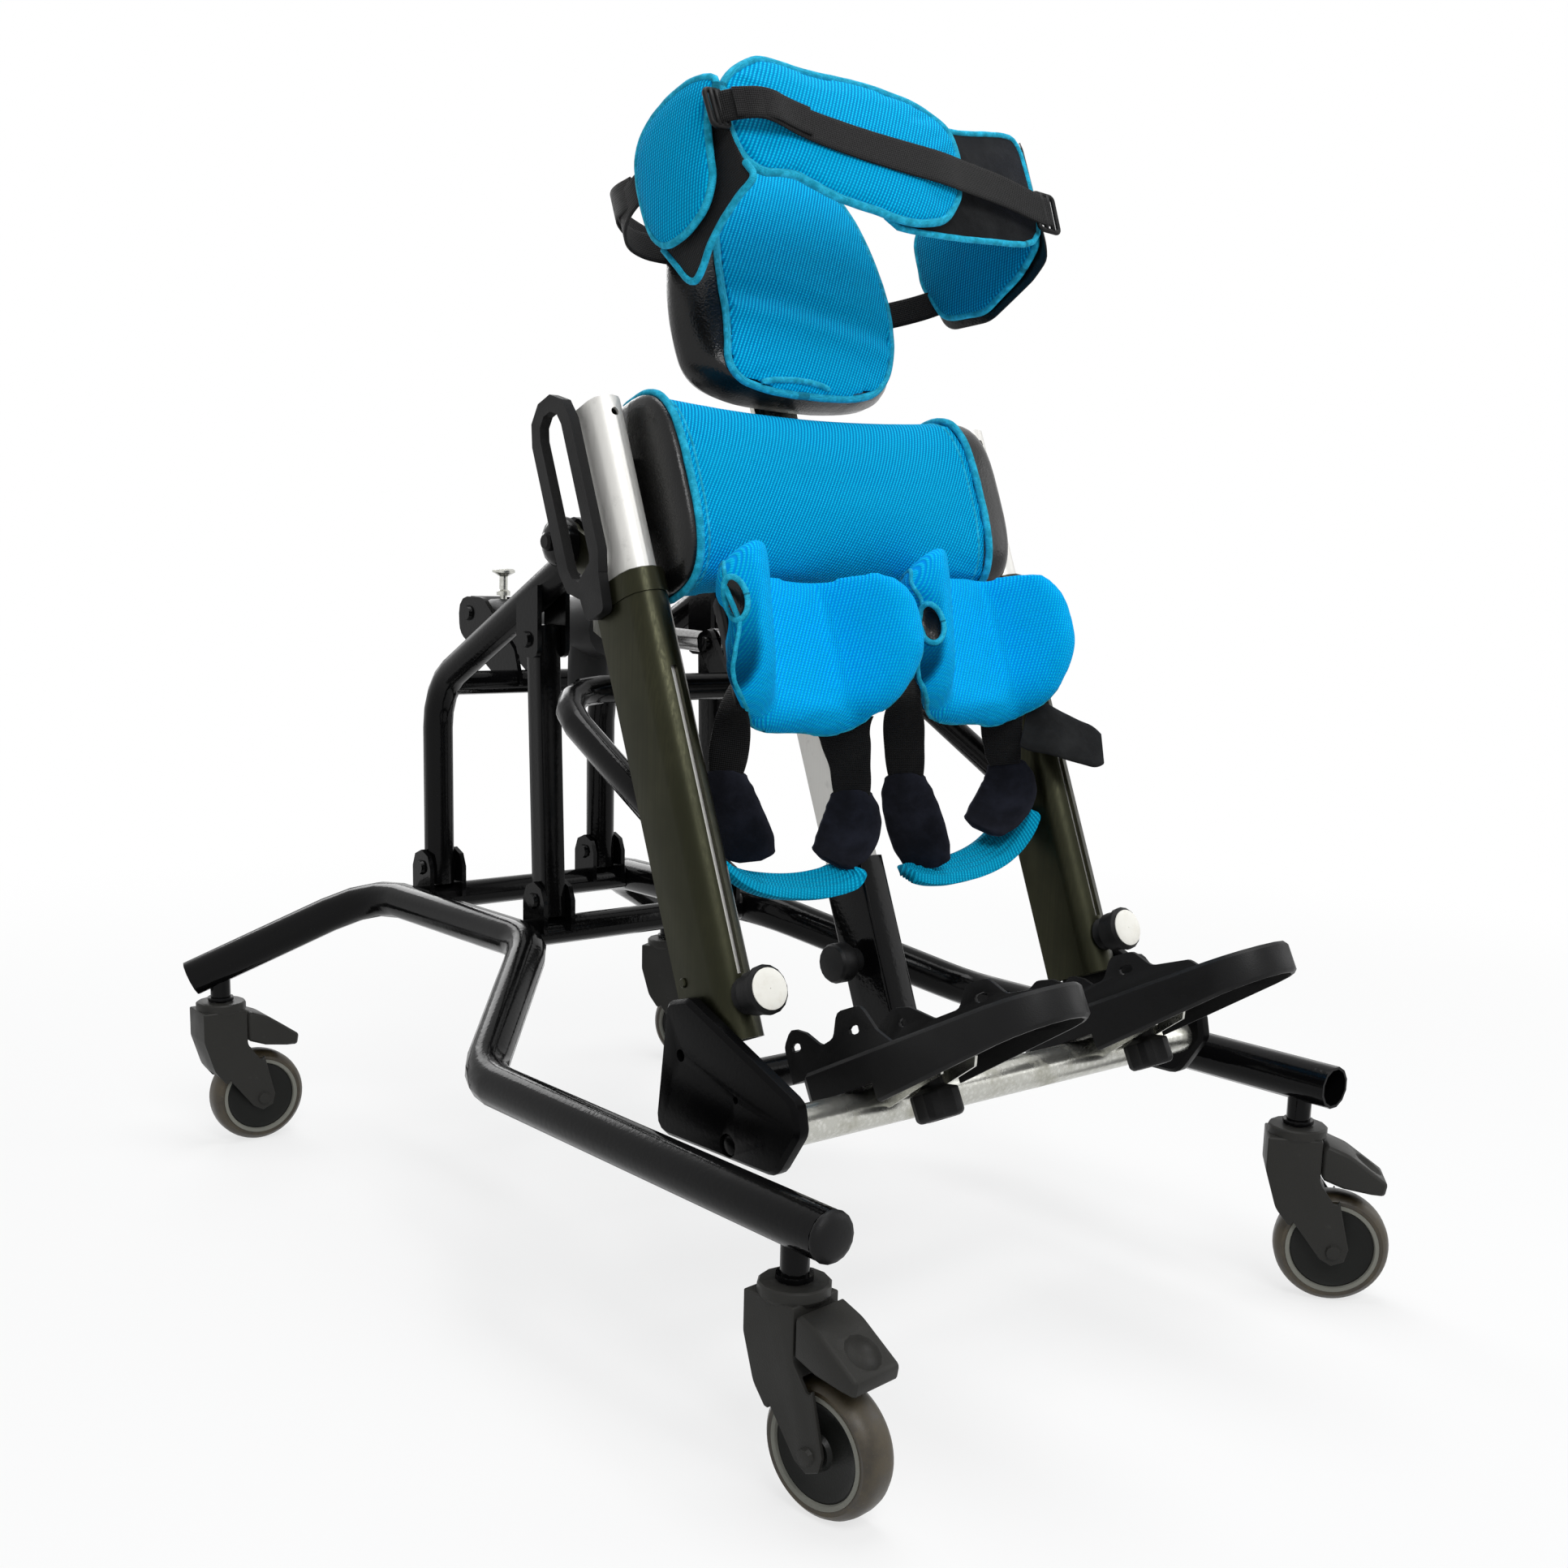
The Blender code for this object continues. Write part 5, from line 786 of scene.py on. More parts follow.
def pillow_levels(thick, crown, edge):
    """Shares and offsets of a panel with round edges, flat back and crowned front."""
    back = [(share, 0.0) for share in (0.0, 0.35, 0.7, 1.0 - edge)]
    side = [(1.0 - edge * (1 - math.sin(math.pi * k / 4)), thick * k / 4) for k in range(1, 4)]
    front = [((1.0 - edge) * (1 - k / 6), thick + crown * math.sin(math.pi / 2 * (k / 6) ** 0.8))
             for k in range(7)]
    return back + side + front


def ribbon(name, points, widths, thick, finish, body, across=UP, replaced=(), slot=None, edge=0.35, ribs=0,
           twist=None):
    """A flat strap along a line; widths at even shares of its length, laid along the across direction,
    which may turn to twist; ribs run along it."""
    line = smooth_line(points, 3, closed=False)
    n = len(line)
    weave, rings = [], []
    along = 0.0
    steps = 24 if ribs else 8
    h = thick / 2
    for i, here in enumerate(line):
        ahead = line[min(i + 1, n - 1)]
        behind = line[max(i - 1, 0)]
        tangent = (ahead - behind).normalized()
        lay = across.lerp(twist, min(1.0, i / (n - 1) * 1.6)) if twist else across
        side = (lay - tangent * lay.dot(tangent)).normalized()
        out = tangent.cross(side)
        t = i / (n - 1) * (len(widths) - 1)
        k = min(int(t), len(widths) - 2)
        share = (t - k) ** 2 * (3 - 2 * (t - k))
        half = (widths[k] * (1 - share) + widths[k + 1] * share) / 2
        e = min(thick * edge, half * 0.5)
        face = [((half - e) * (-1 + 2 * j / steps), h - ribs_dip(j / steps, ribs, thick))
                for j in range(steps + 1)]
        profile = [(-half, -h + e), (-half, h - e)] + face + [(half, h - e), (half, -h + e)]
        profile += [(a, -b) for a, b in reversed(face)]
        if i:
            along += (here - line[i - 1]).length
        rings.append([here + side * a + out * b for a, b in profile])
        weave += [(along, a) for a, b in profile]
    return skinned(name, rings, finish, body, replaced, weave=weave, slot=slot)


def ribs_dip(share, ribs, thick):
    """How deep the groove between ribs is at a share of a ribbon's width."""
    if not ribs:
        return 0.0
    return thick * 0.16 * (1 - abs(math.sin(math.pi * ribs * share)))


def settle_modifiers(obj):
    """Make the mesh what its modifiers leave of it now."""
    graph = bpy.context.evaluated_depsgraph_get()
    mesh = bpy.data.meshes.new_from_object(obj.evaluated_get(graph))
    obj.modifiers.clear()
    old = obj.data
    obj.data = mesh
    bpy.data.meshes.remove(old)


def puff(obj, voxel, pressure, cap, hold):
    """Swell a closed mesh like a sewn cover over foam, each point held near where it began; hold says at
    which points of the tilting frame it is sewn down."""
    remesh = obj.modifiers.new("even", "REMESH")
    remesh.mode = "VOXEL"
    remesh.voxel_size = voxel
    remesh.use_smooth_shade = True
    settle_modifiers(obj)
    start = [v.co.copy() for v in obj.data.vertices]
    group = obj.vertex_groups.new(name="held")
    group.add([i for i, p in enumerate(start) if hold(FROM_TILT @ p)], 1.0, "REPLACE")
    cloth = obj.modifiers.new("cloth", "CLOTH")
    rules = cloth.settings
    rules.quality = 5
    rules.mass = 0.15
    rules.tension_stiffness = CLOTH_STIFFNESS
    rules.compression_stiffness = CLOTH_STIFFNESS
    rules.shear_stiffness = CLOTH_STIFFNESS * 0.5
    rules.bending_stiffness = 0.4
    rules.use_pressure = True
    rules.uniform_pressure_force = pressure
    rules.effector_weights.gravity = 0.0
    rules.vertex_group_mass = "held"
    cloth.collision_settings.use_collision = False
    for i in range(1, CLOTH_FRAMES + 1):
        bpy.context.scene.frame_set(i)
    settle_modifiers(obj)
    bpy.context.scene.frame_set(1)
    for v, p in zip(obj.data.vertices, start):
        move = v.co - p
        if move.length > cap:
            v.co = p + move * (cap / move.length)
    obj.vertex_groups.clear()
    finer = obj.modifiers.new("finer", "SUBSURF")
    finer.levels = 1
    finer.render_levels = 1
    settle_modifiers(obj)
    obj.data.shade_smooth()


def softened(obj, rounds, share=None):
    """Rounds off creases, as cloth over foam does; share says how much at a point of the tilting frame."""
    smooth = obj.modifiers.new("soft", "SMOOTH")
    smooth.factor = 0.5
    smooth.iterations = rounds
    if share:
        group = obj.vertex_groups.new(name="soft")
        for v in obj.data.vertices:
            group.add([v.index], share(FROM_TILT @ v.co), "REPLACE")
        smooth.vertex_group = "soft"
    settle_modifiers(obj)
    obj.vertex_groups.clear()


def weave_after(obj, weave):
    """Lay cloth coordinates once the mesh is final; weave reads points of the tilting frame."""
    lay_weave(obj.data, lambda co: weave(FROM_TILT @ co))


def surface(obj):
    return BVHTree.FromObject(obj, bpy.context.evaluated_depsgraph_get())


def on_surface(obj, points, lift):
    """The points moved to the nearest spot of a piece's surface, in the tilting frame."""
    tree = surface(obj)
    out = []
    for p in points:
        spot, normal, _, _ = tree.find_nearest(TILT @ Vector(p))
        out.append(FROM_TILT @ (spot + normal * lift))
    return out


# Pads

def bolster_ring(x, share):
    """Section of the pelvic bolster: full round front, flat back."""
    ring = []
    for i in range(PELVIC_STEPS + 1):
        t = math.pi * i / PELVIC_STEPS
        up = math.copysign(abs(math.cos(t)) ** 0.62, math.cos(t))
        out = math.sin(t) ** 0.62 if 0 < i < PELVIC_STEPS else 0.0
        ring.append((x, PELVIC_BACK - PELVIC_DEEP * out * share, PELVIC_MIDDLE + up * PELVIC_H / 2 * share))
    for i in range(1, 6):
        ring.append((x, PELVIC_BACK, PELVIC_MIDDLE + (-1 + 2 * i / 6) * PELVIC_H / 2 * share))
    return ring


def bolster_share(x):
    """The bolster is slightly waisted, as it curves round the hips."""
    return 0.930 + 0.085 * ((x + 0.014) / 0.165) ** 2


def bolster_weave(p):
    angle = math.atan2(p.z - PELVIC_MIDDLE, PELVIC_BACK + 0.004 - p.y)
    return (p.x, angle * 0.078)


def pelvic_bolster():
    low, high = PELVIC_SEAMS
    spots = [low + (high - low) * i / PELVIC_SPANS for i in range(PELVIC_SPANS + 1)]
    rings = [bolster_ring(x * 0.998, bolster_share(x) * 0.985) for x in spots]
    pad = skinned("pelvic_pad", rings, "blue_spacer_mesh", "upper_frame", ["pelvic_cushion"])
    puff(pad, 0.0055, 3.0, 0.0035,
         lambda p: p.y > PELVIC_BACK - 0.006 or not low + 0.006 < p.x < high - 0.006)
    for v in pad.data.vertices:
        p = FROM_TILT @ v.co
        if p.y > PELVIC_BACK - 0.0003:
            p.y = PELVIC_BACK - 0.0003
            v.co = TILT @ p
    weave_after(pad, bolster_weave)
    pelvic_end(pad, low, -1, "left")
    pelvic_end(pad, high, 1, "right")


def pelvic_end(pad, seam, hand, tag):
    """Vinyl end of the bolster, the cord on its seam and the tape beside it."""
    full = bolster_share(seam)
    rings = []
    for k in range(13):
        t = k / 12
        x = seam + hand * 0.0008 + (hand * PELVIC_END - seam) * math.sin(math.pi / 2 * t)
        rings.append(bolster_ring(x, full * 0.99 * (0.35 + 0.65 * max(0.0, 1 - t ** 3.2) ** 0.55)))
    end = skinned("pelvic_end_" + tag, rings, "black_vinyl", "upper_frame")
    cord = spaced(bolster_ring(seam, full * 1.004), 0.004)
    piping("pelvic_piping_" + tag, cord, "upper_frame", WIDE_PIPING_R)
    inner = bolster_ring(seam - hand * 0.0105, full * 0.992)[:PELVIC_STEPS + 1]
    tape = on_surface(pad, spaced(inner, 0.004, False), -0.0006)
    piping("pelvic_tape_" + tag, tape, "upper_frame", 0.0013, closed=False, wobble=0.0002)


def chest_ring(share, inset, v):
    """Outline at depth v, between the shell's and the padded face's by share, drawn in by inset."""
    rim = zip(smooth_line(CHEST_OUTLINE, 3), smooth_line(FACE_OUTLINE, 3))
    outline = [a.lerp(b, share) for a, b in rim]
    x, w = CHEST_MIDDLE
    reach = min((p - CHEST_MIDDLE).length for p in outline)
    return [(x + (p.x - x) * (1 - inset / reach), v, w + (p.y - w) * (1 - inset / reach)) for p in outline]


def chest_shell():
    rings = [chest_ring(share, inset, CHEST_REAR - depth) for share, inset, depth in SHELL_SIDE]
    shell = skinned("chest_bolster", rings, "black_vinyl", "chest_support", ["chest_shell"])
    for v in shell.data.vertices:
        p = FROM_TILT @ v.co
        if p.y < CHEST_REAR - 0.004:
            v.co += noise.noise_vector(Vector((p.x * 40, p.y * 90, p.z * 40))) * 0.0006


def chest_pad():
    """Mesh face with a fold across it, the cord on its seam and the mouth of its pocket."""
    rings = [chest_ring(1.0, inset, CHEST_SEAM - depth) for inset, depth in FACE_SIDE]
    pad = skinned("chest_pad", rings, "blue_spacer_mesh", "chest_support", ["chest_cushion"])
    puff(pad, 0.004, 3.0, 0.003, lambda p: p.y > CHEST_SEAM - 0.0015)
    for v in pad.data.vertices:
        p = FROM_TILT @ v.co
        if p.y < CHEST_SEAM - 0.005:
            fold = math.exp(-((p.z - 0.128 + 0.16 * p.x) / 0.012) ** 2) * 0.0026
            ridge = math.exp(-((p.z - 0.108 + 0.16 * p.x) / 0.010) ** 2) * 0.0020
            p.y += fold - ridge
            v.co = TILT @ p
    weave_after(pad, lambda p: (p.x, p.z))
    piping("chest_piping", chest_ring(1.0, -0.0008, CHEST_SEAM), "chest_support", WIDE_PIPING_R)
    mouth = [(-0.026 + 0.036 * math.cos(a), CHEST_SEAM - 0.006, 0.0535 + 0.0060 * math.sin(a))
             for a in [math.pi * k / 24 for k in range(25)]]
    piping("chest_mouth", on_surface(pad, mouth, 0.0004), "chest_support", 0.0026, closed=False)


class Channel:
    """Plan line of a knee cup: flat back, two bends and two flared wings; s runs from its middle."""

    def at(self, s, out=0.0):
        hand = 1.0 if s >= 0 else -1.0
        s = abs(s)
        turn = min(max(0.0, s - CUP_FLAT) / CUP_BEND, CUP_FLARE)
        rest = max(0.0, s - CUP_FLAT - CUP_BEND * CUP_FLARE)
        a = min(s, CUP_FLAT) + CUP_BEND * math.sin(turn) + rest * math.cos(CUP_FLARE)
        deep = CUP_BEND * (1 - math.cos(turn)) + rest * math.sin(CUP_FLARE)
        return hand * (a - math.sin(turn) * out), CUP_BACK - deep - math.cos(turn) * out

    def along(self, a, v):
        """Length along the line of a point on the padded side, carried on round the rim."""
        past = abs(a) - CUP_INNER
        wing = past * math.cos(CUP_FLARE) + (CUP_BACK - CUP_DEEP - v) * math.sin(CUP_FLARE)
        reach = CUP_INNER + min(past, 0.0) + max(wing, 0.0) * min(1.0, abs(a) / 0.02)
        q = Vector((abs(a) - CUP_FLAT, v - CUP_BACK + CUP_BEND))
        if q.x <= 0.0:
            out = CUP_BACK - v
        elif math.atan2(q.x, q.y) < CUP_FLARE:
            out = CUP_BEND - q.length
        else:
            out = CUP_BEND - q.x * math.sin(CUP_FLARE) - q.y * math.cos(CUP_FLARE)
        return math.copysign(reach + (CUP_DEEP - out) * min(1.0, abs(a) / 0.05), a)


def clamped(t):
    """0 below 0, 1 above 1, straight between."""
    return max(0.0, min(1.0, t))


def cup_drift(hand):
    """The padded inner side stands higher than the back, the left top corner rolls in as a lip, and the left
    wing's cover bulges outward below and round the slot."""
    lip, lift, short = CUP_WEAR[hand]

    def drift(s, w, out):
        b = w - CUP_MIDDLE
        share = clamped(out / CUP_DEEP)
        rise = lift * share * clamped(b / 0.05) + 0.005 * share * clamped(-b / 0.05)
        corner = clamped((-s + 0.030) / 0.140) ** 2 * clamped((b - 0.005) / 0.060)
        side = clamped((-s - 0.06) / 0.04)
        lobes = 0.007 * math.exp(-((b - 0.057) / 0.014) ** 2) + 0.013 * math.exp(-((b + 0.012) / 0.028) ** 2)
        deep = out * (1 + 0.15 * side + 0.45 * corner) - lobes * side * (1 - share)
        return s * (short if s > 0 else 1.0), w + rise + lip * corner * (0.3 + 0.7 * share), deep
    return drift


def cup_valley(middle):
    """How much a cup's cover is smoothed: most along its two bends, between its upper and lower edge."""
    def valley(p):
        b = p.z - CUP_MIDDLE
        across = math.exp(-((abs(p.x - middle) - 0.045) / 0.022) ** 2)
        return across * clamped((0.062 - b) / 0.02) * clamped((b + 0.042) / 0.02)
    return valley


def knee_cup(hand, tag):
    """Padded cup with its slot and seam cord; its shell and hinge follow."""
    body = "knee_cup_" + tag
    shift = Vector((hand * CUP_X, 0.0, 0.0))
    place = TILT @ Matrix.Translation(shift)
    channel = Channel()
    drift = cup_drift(hand)
    outline = [(s, CUP_MIDDLE + b) for s, b in rounded(CUP_CORNERS, CUP_RADII, 5)]
    rim = [(0.985, 0.003), (1.0, 0.008), (1.0, 0.014), (0.985, 0.0185), (0.95, 0.0220), (0.90, 0.0238)]
    levels = layers(0.0, (0.0, 0.15, 0.3, 0.45, 0.6, 0.75, 0.88, 0.95), rim,
                    CUP_DEEP, (0.82, 0.72, 0.6, 0.48, 0.36, 0.24, 0.12, 0.0))
    cup = quilt("knee_pad_" + tag, outline, channel, levels, "blue_knee_mesh", body, ["knee_cup_" + tag],
                slot="blue_spacer_mesh", drift=drift, place=place)
    puff(cup, 0.005, 4.0, 0.0035, lambda p: abs(p.x - shift.x) < 0.062 and p.y > CUP_BACK - 0.012)
    softened(cup, 12)
    softened(cup, 70, cup_valley(shift.x))
    slot_at = SLOT_AT[hand] + shift
    slot_edge = smooth_line(oval(surface(cup), slot_at, SLOT_A, SLOT_B, 36, 0.0004), 1)
    dent(cup, slot_at)
    weave_after(cup, lambda p: (channel.along(p.x - shift.x, p.y), p.z))
    slot_lining(cup, slot_at, body, tag)
    piping("knee_slot_" + tag, slot_edge, body, 0.0024)
    edge = []
    for s, w in spaced(outline, 0.005):
        s, w, deep = drift(s * 0.985, CUP_MIDDLE + (w - CUP_MIDDLE) * 0.985, 0.002)
        x, v = channel.at(s, deep)
        edge.append(clear_of_slot(Vector((x, v, w)) + shift, slot_at))
    piping("knee_seam_" + tag, on_surface(cup, edge, -0.0008), body, 0.0022, wobble=0.0009)
    knee_shell(outline, channel, body, tag, place)
    hinge(hand, tag, body)


def knee_shell(outline, channel, body, tag, place):
    """Plastic shell behind a cup's padding."""
    shares = (0.0, 0.2, 0.4, 0.55, 0.7, 0.85)
    levels = layers(-0.0052, shares, [(0.96, -0.0052), (1.0, -0.0036), (1.0, -0.0010)], -0.0004)
    small = [(s * 0.78, CUP_MIDDLE + (w - CUP_MIDDLE) * 0.80) for s, w in outline]
    quilt("knee_shell_" + tag, small, channel, levels, "black_plastic", body, place=place)


def dent(cup, slot_at):
    """Press the oval slot in, and leave the cover slightly uneven."""
    for v in cup.data.vertices:
        p = FROM_TILT @ v.co
        q = p - slot_at
        r2 = (q.dot(SIGHT_RIGHT) / (SLOT_A - 0.001)) ** 2 + (q.z / (SLOT_B - 0.001)) ** 2
        if r2 < 1.0 and abs(q.dot(SIGHT)) < 0.016:
            p += SIGHT * 0.007 * math.sqrt(1 - r2)
        p.z += 0.0010 * noise.noise(Vector((p.x * 38, 3.1, p.z * 38)))
        v.co = TILT @ p


def clear_of_slot(p, slot_at):
    """The point moved out to the slot's rim if the line of sight meets it inside."""
    a = (p - slot_at).dot(SIGHT_RIGHT) / SLOT_A
    b = (p.z - slot_at.z) / SLOT_B
    size = math.hypot(a, b)
    if size > 1.08 or size < 1e-6:
        return p
    more = 1.08 / size - 1
    return p + SIGHT_RIGHT * (a * more * SLOT_A) + Vector((0.0, 0.0, b * more * SLOT_B))


def seen_point(tree, spot):
    """Where the line of sight through a spot first meets a surface; in the tilting frame."""
    start = TILT @ (spot - SIGHT * 0.05)
    hit = tree.ray_cast(start, TILT.to_3x3() @ SIGHT)[0]
    return FROM_TILT @ hit if hit else None


def oval(tree, centre, half_wide, half_high, count, lift):
    """Oval line laid on a surface along the line of sight and raised by lift."""
    line = []
    for k in range(count):
        a = 2 * math.pi * k / count
        spot = centre + SIGHT_RIGHT * half_wide * math.cos(a)
        spot.z += half_high * math.sin(a)
        line.append((seen_point(tree, spot) or spot) - SIGHT * lift)
    return line


def slot_lining(cup, slot_at, body, tag):
    """Dark dish in the slot, where the cup's hook passes through its cover."""
    tree = surface(cup)
    a, b = SLOT_A - 0.0005, SLOT_B - 0.0005
    rings = [oval(tree, slot_at, a * share, b * share, SLOT_SIDES, 0.0008)
             for share in (1.0, 0.8, 0.55, 0.3)]
    verts, faces = skin(rings, capped=False)
    faces.append(tuple(range(len(verts) - SLOT_SIDES, len(verts))))
    piece("knee_slot_lining_" + tag, verts, faces, "black_vinyl", body)


def hinge(hand, tag, body):
    """Black knuckle on the upright pin, and the lug that joins it to the cup's shell."""
    rings = []
    for i in range(HINGE_SIDES):
        a = 2 * math.pi * i / HINGE_SIDES
        rings.append([(hand * CUP_X + r * math.cos(a), HINGE_V + r * math.sin(a), HINGE_W + h)
                      for r, h in HINGE_PROFILE])
    skinned("cup_hinge_" + tag, rings, "black_plastic", body, closed=True, smooth=40)
    rings = []
    for v, half, high in LUG_SECTIONS:
        ring = rounded_box(half, high, 0.0025)
        rings.append([(hand * CUP_X + a, v, HINGE_W + b) for a, b in ring])
    skinned("cup_lug_" + tag, rings, "black_plastic", body, smooth=40)


def calf_strap(hand, tag):
    """Neoprene tabs on webbing tails, and the ribbed calf pad that they carry."""
    body = "knee_cup_" + tag

    def spot(a, w, shift=0.0):
        return Vector((hand * CUP_X + a, STRAP_PLANE + shift + math.tan(LEAN) * (STRAP_TOP - w), w))

    for side in ("outer", "inner"):
        web, tab = CALF_LINES[tag][side]
        word = tag + "_" + side
        wing = Vector((math.copysign(0.5, -web[0][0]), 0.866, 0.0))
        ribbon("calf_web_" + word, [spot(a, w) for a, w in web], CALF_WEB[side], 0.0024, "black_webbing",
               body, wing, twist=CALF_ACROSS)
        ribbon("calf_tab_" + word, [spot(a, w, 0.002) for a, w in tab], TAB_WIDTHS, 0.0070,
               "navy_neoprene", body, CALF_ACROSS, slot="black_webbing", edge=0.46)
    line = [spot(*place) for place in CALF_LINES[tag]["pad"]]
    pad = ribbon("calf_pad_" + tag, line, CALF_PAD_WIDTHS, 0.0115, "calf_mesh", body, CALF_LEVEL,
                 ["calf_strap_" + tag], "blue_spacer_mesh", edge=0.48, ribs=5)
    if tag == "right":
        line = [spot(*place) for place in TAIL_LINE]
        ribbon("calf_tail_right", line, TAIL_WIDTHS, 0.0030, "hook_tape", body, TAIL_ACROSS,
               slot="black_webbing")


# Harness, on the chest support

def band_piping(name, outline, track, out, radius=PIPING_R, closed=True):
    """Edge cord round a panel laid on a track."""
    line = []
    for s, w in spaced(outline, 0.005, closed):
        x, v = track.at(s, out)
        line.append((x, v, w))
    piping(name, line, "chest_support", radius, closed=closed)


def belt_spot(x, w, out):
    """A point on the belt pad's front, which rounds back at its left end."""
    back = 0.0217 * (max(0.0, -0.150 - x) / 0.0325) ** 1.9
    lift = 0.0055 * clamped((-0.120 - x) / 0.020)
    return Vector((x, -0.3845 + back - lift - out, w))


def wing_left():
    """Padded side wing on a wider backing with a cord along its lower edge."""
    track = Track(LEFT_TRACK)
    outline = smooth_line(LEFT_WING, 2)
    wing = quilt("wing_left", outline, track, pillow_levels(*WING_PAD), "blue_spacer_mesh", "chest_support",
                 ["lateral_pad_left"])
    band_piping("wing_piping_left", outline, track, 0.0060)
    track = Track(BASE_TRACK)
    shares = (0.0, 0.15, 0.3, 0.45, 0.6, 0.75, 0.88, 0.97)
    quilt("wing_base_left", smooth_line(LEFT_BASE, 2), track,
          layers(0.0014, shares, [(1.0, 0.0006)], -0.0002), "black_webbing", "chest_support", step=0.005)
    lower = smooth_line(LEFT_BASE[:9], 2, closed=False)
    band_piping("wing_base_piping_left", lower, track, 0.0006, 0.0029, closed=False)


def wing_right():
    """Padded side wing, its lining turned outward, on a vinyl backing."""
    track = Track(RIGHT_TRACK)
    outline = rounded(RIGHT_WING, RIGHT_RADII)
    wing = quilt("wing_right", outline, track, pillow_levels(*WING_PAD), "blue_lining", "chest_support",
                 ["lateral_pad_right"], "blue_spacer_mesh")
    band_piping("wing_piping_right", outline, track, 0.0050)
    shares = (0.0, 0.2, 0.4, 0.6, 0.8)
    quilt("wing_base_right", rounded(RIGHT_BASE, RIGHT_RADII), track,
          layers(-0.0024, shares, [(0.96, -0.0024), (1.0, -0.0014), (0.985, -0.0004)], -0.0004),
          "black_vinyl", "chest_support")


def belt_pad():
    track = Track(BELT_TRACK)
    face = [(x - BELT_START, w) for x, w in smooth_line(BELT_FACE, 2)]
    pad = quilt("belt_cushion", face, track, pillow_levels(0.0110, 0.0045, 0.05), "blue_spacer_mesh",
                "chest_support", ["belt_pad"])
    puff(pad, 0.0045, 3.0, 0.0020, lambda p: p.y > -0.372)
    weave_after(pad, lambda p: (p.x, p.z))
    band_piping("belt_piping", face, track, 0.0060, WIDE_PIPING_R)


def belt_closure():
    """Hook-and-loop panel behind the belt pad."""
    track = Track(FLAT_TRACK)
    panel = [(x - FLAT_TRACK[0][0], w) for x, w in smooth_line(BACK_PANEL, 2)]
    levels = [(0.0, 0.0), (0.9, 0.0), (1.0, 0.0008), (0.97, 0.0018), (0.0, 0.0020)]
    quilt("belt_closure", panel, track, levels, "hook_tape", "chest_support", slot="black_webbing")
    band_piping("belt_closure_piping", panel, track, 0.0010, 0.0026)


def belt_webbing():
    """Webbing over the belt pad, its folded end and a buckle at each end."""
    line = [belt_spot(x, w, 0.0032 - 0.0105 * clamped((x - 0.062) / 0.020)) for x, w in WEB_LINE]
    ribbon("belt_web", line, WEB_WIDTHS, 0.0022, "black_webbing", "chest_support", UP, ["belt_webbing"])
    fold = [belt_spot(x, w, 0.0052) for x, w in WEB_FOLD]
    ribbon("belt_web_fold", fold, metres([24, 25, 25, 25]), 0.0020, "black_webbing", "chest_support")
    ladder_lock("belt_buckle_left", belt_spot(-0.1812, 0.1945, 0.0044), 0.06, 0.016, 0.029)
    ladder_lock("belt_buckle_right", belt_spot(0.1720, 0.1640, -0.0085), -0.06, 0.024, 0.034)


def ladder_lock(name, centre, turn, wide, high):
    """Three-bar strap buckle: a rounded frame with two cross bars."""
    along = Vector((math.cos(turn), 0.0, math.sin(turn)))
    up = Vector((-math.sin(turn), 0.0, math.cos(turn)))
    out = Vector((0.0, -1.0, 0.0))
    line = [centre + along * a + up * b for a, b in rounded_box(wide / 2, high / 2, 0.004)]
    rings, _ = sweep(line, circle(LOCK_ROD), up=out)
    verts, faces = skin(rings, closed=True)
    for a in (-wide * 0.17, wide * 0.17):
        bar = [centre + along * a + up * (high * k / 4) + out * 0.0008 for k in range(-2, 3)]
        rings, _ = sweep(bar, circle(LOCK_ROD), closed=False, up=out)
        more, also = skin(rings)
        faces += [tuple(i + len(verts) for i in face) for face in also]
        verts += more
    piece(name, verts, faces, "black_plastic", "chest_support", slot="black_webbing")


def rear_straps():
    """Webbing from behind the chest pad to the wings, with a slack loop on each."""
    for hand, tag in HANDS:
        w = REAR_W[tag]
        line = [(hand * x, v, w) for x, v in REAR_START + REAR_END[tag]]
        ribbon("rear_web_" + tag, line, metres([25, 26, 25, 25, 26]), 0.0026, "black_webbing",
               "chest_support", UP, ["rear_strap_" + tag])
        loop = [(hand * x, v, w + up) for x, v, up in REAR_LOOP[:LOOP_SPOTS[tag]]]
        ribbon("rear_loop_" + tag, loop, metres([22, 25, 25, 24]), 0.0022, "black_webbing", "chest_support")


# Wheels

def turned(name, profile, joint, finish, body, sides=64, replaced=(), slot=None):
    """A ring or disc of revolution about a joint's axis; profile of (radius, height), closed."""
    at, axis = joint
    side = axis.cross(UP).normalized()
    up = side.cross(axis)
    rings = []
    for i in range(sides):
        a = 2 * math.pi * i / sides
        out = side * math.cos(a) + up * math.sin(a)
        rings.append([at + out * r + axis * h for r, h in profile])
    skinned(name, rings, finish, body, replaced, closed=True, slot=slot, place=Matrix.Identity(4), smooth=40)


def joint_line(name):
    """A joint's place and the direction of its axis."""
    return Vector(JOINTS[name]["pos_m"]), Vector(JOINTS[name]["axis"]).normalized()


def both_sides(half):
    """Closed profile of (radius, height) of a wheel's ring, from half of it."""
    low = [(r, inward - WHEEL_HALF) for r, inward in half]
    return low + [(r, -h) for r, h in reversed(low)]


def wheels():
    for tag in ("front_left", "front_right", "rear_left", "rear_right"):
        joint, body = joint_line("wheel_spin_" + tag), "wheel_" + tag
        turned("tyre_" + tag, both_sides(TYRE), joint, "tyre_brown", body, replaced=["caster_wheel_" + tag])
        turned("wheel_ring_" + tag, both_sides(RING), joint, "ring_grey", body, slot="tyre_brown")
        turned("wheel_hub_" + tag, both_sides(HUB), joint, "hub_dark", body, slot="black_plastic")


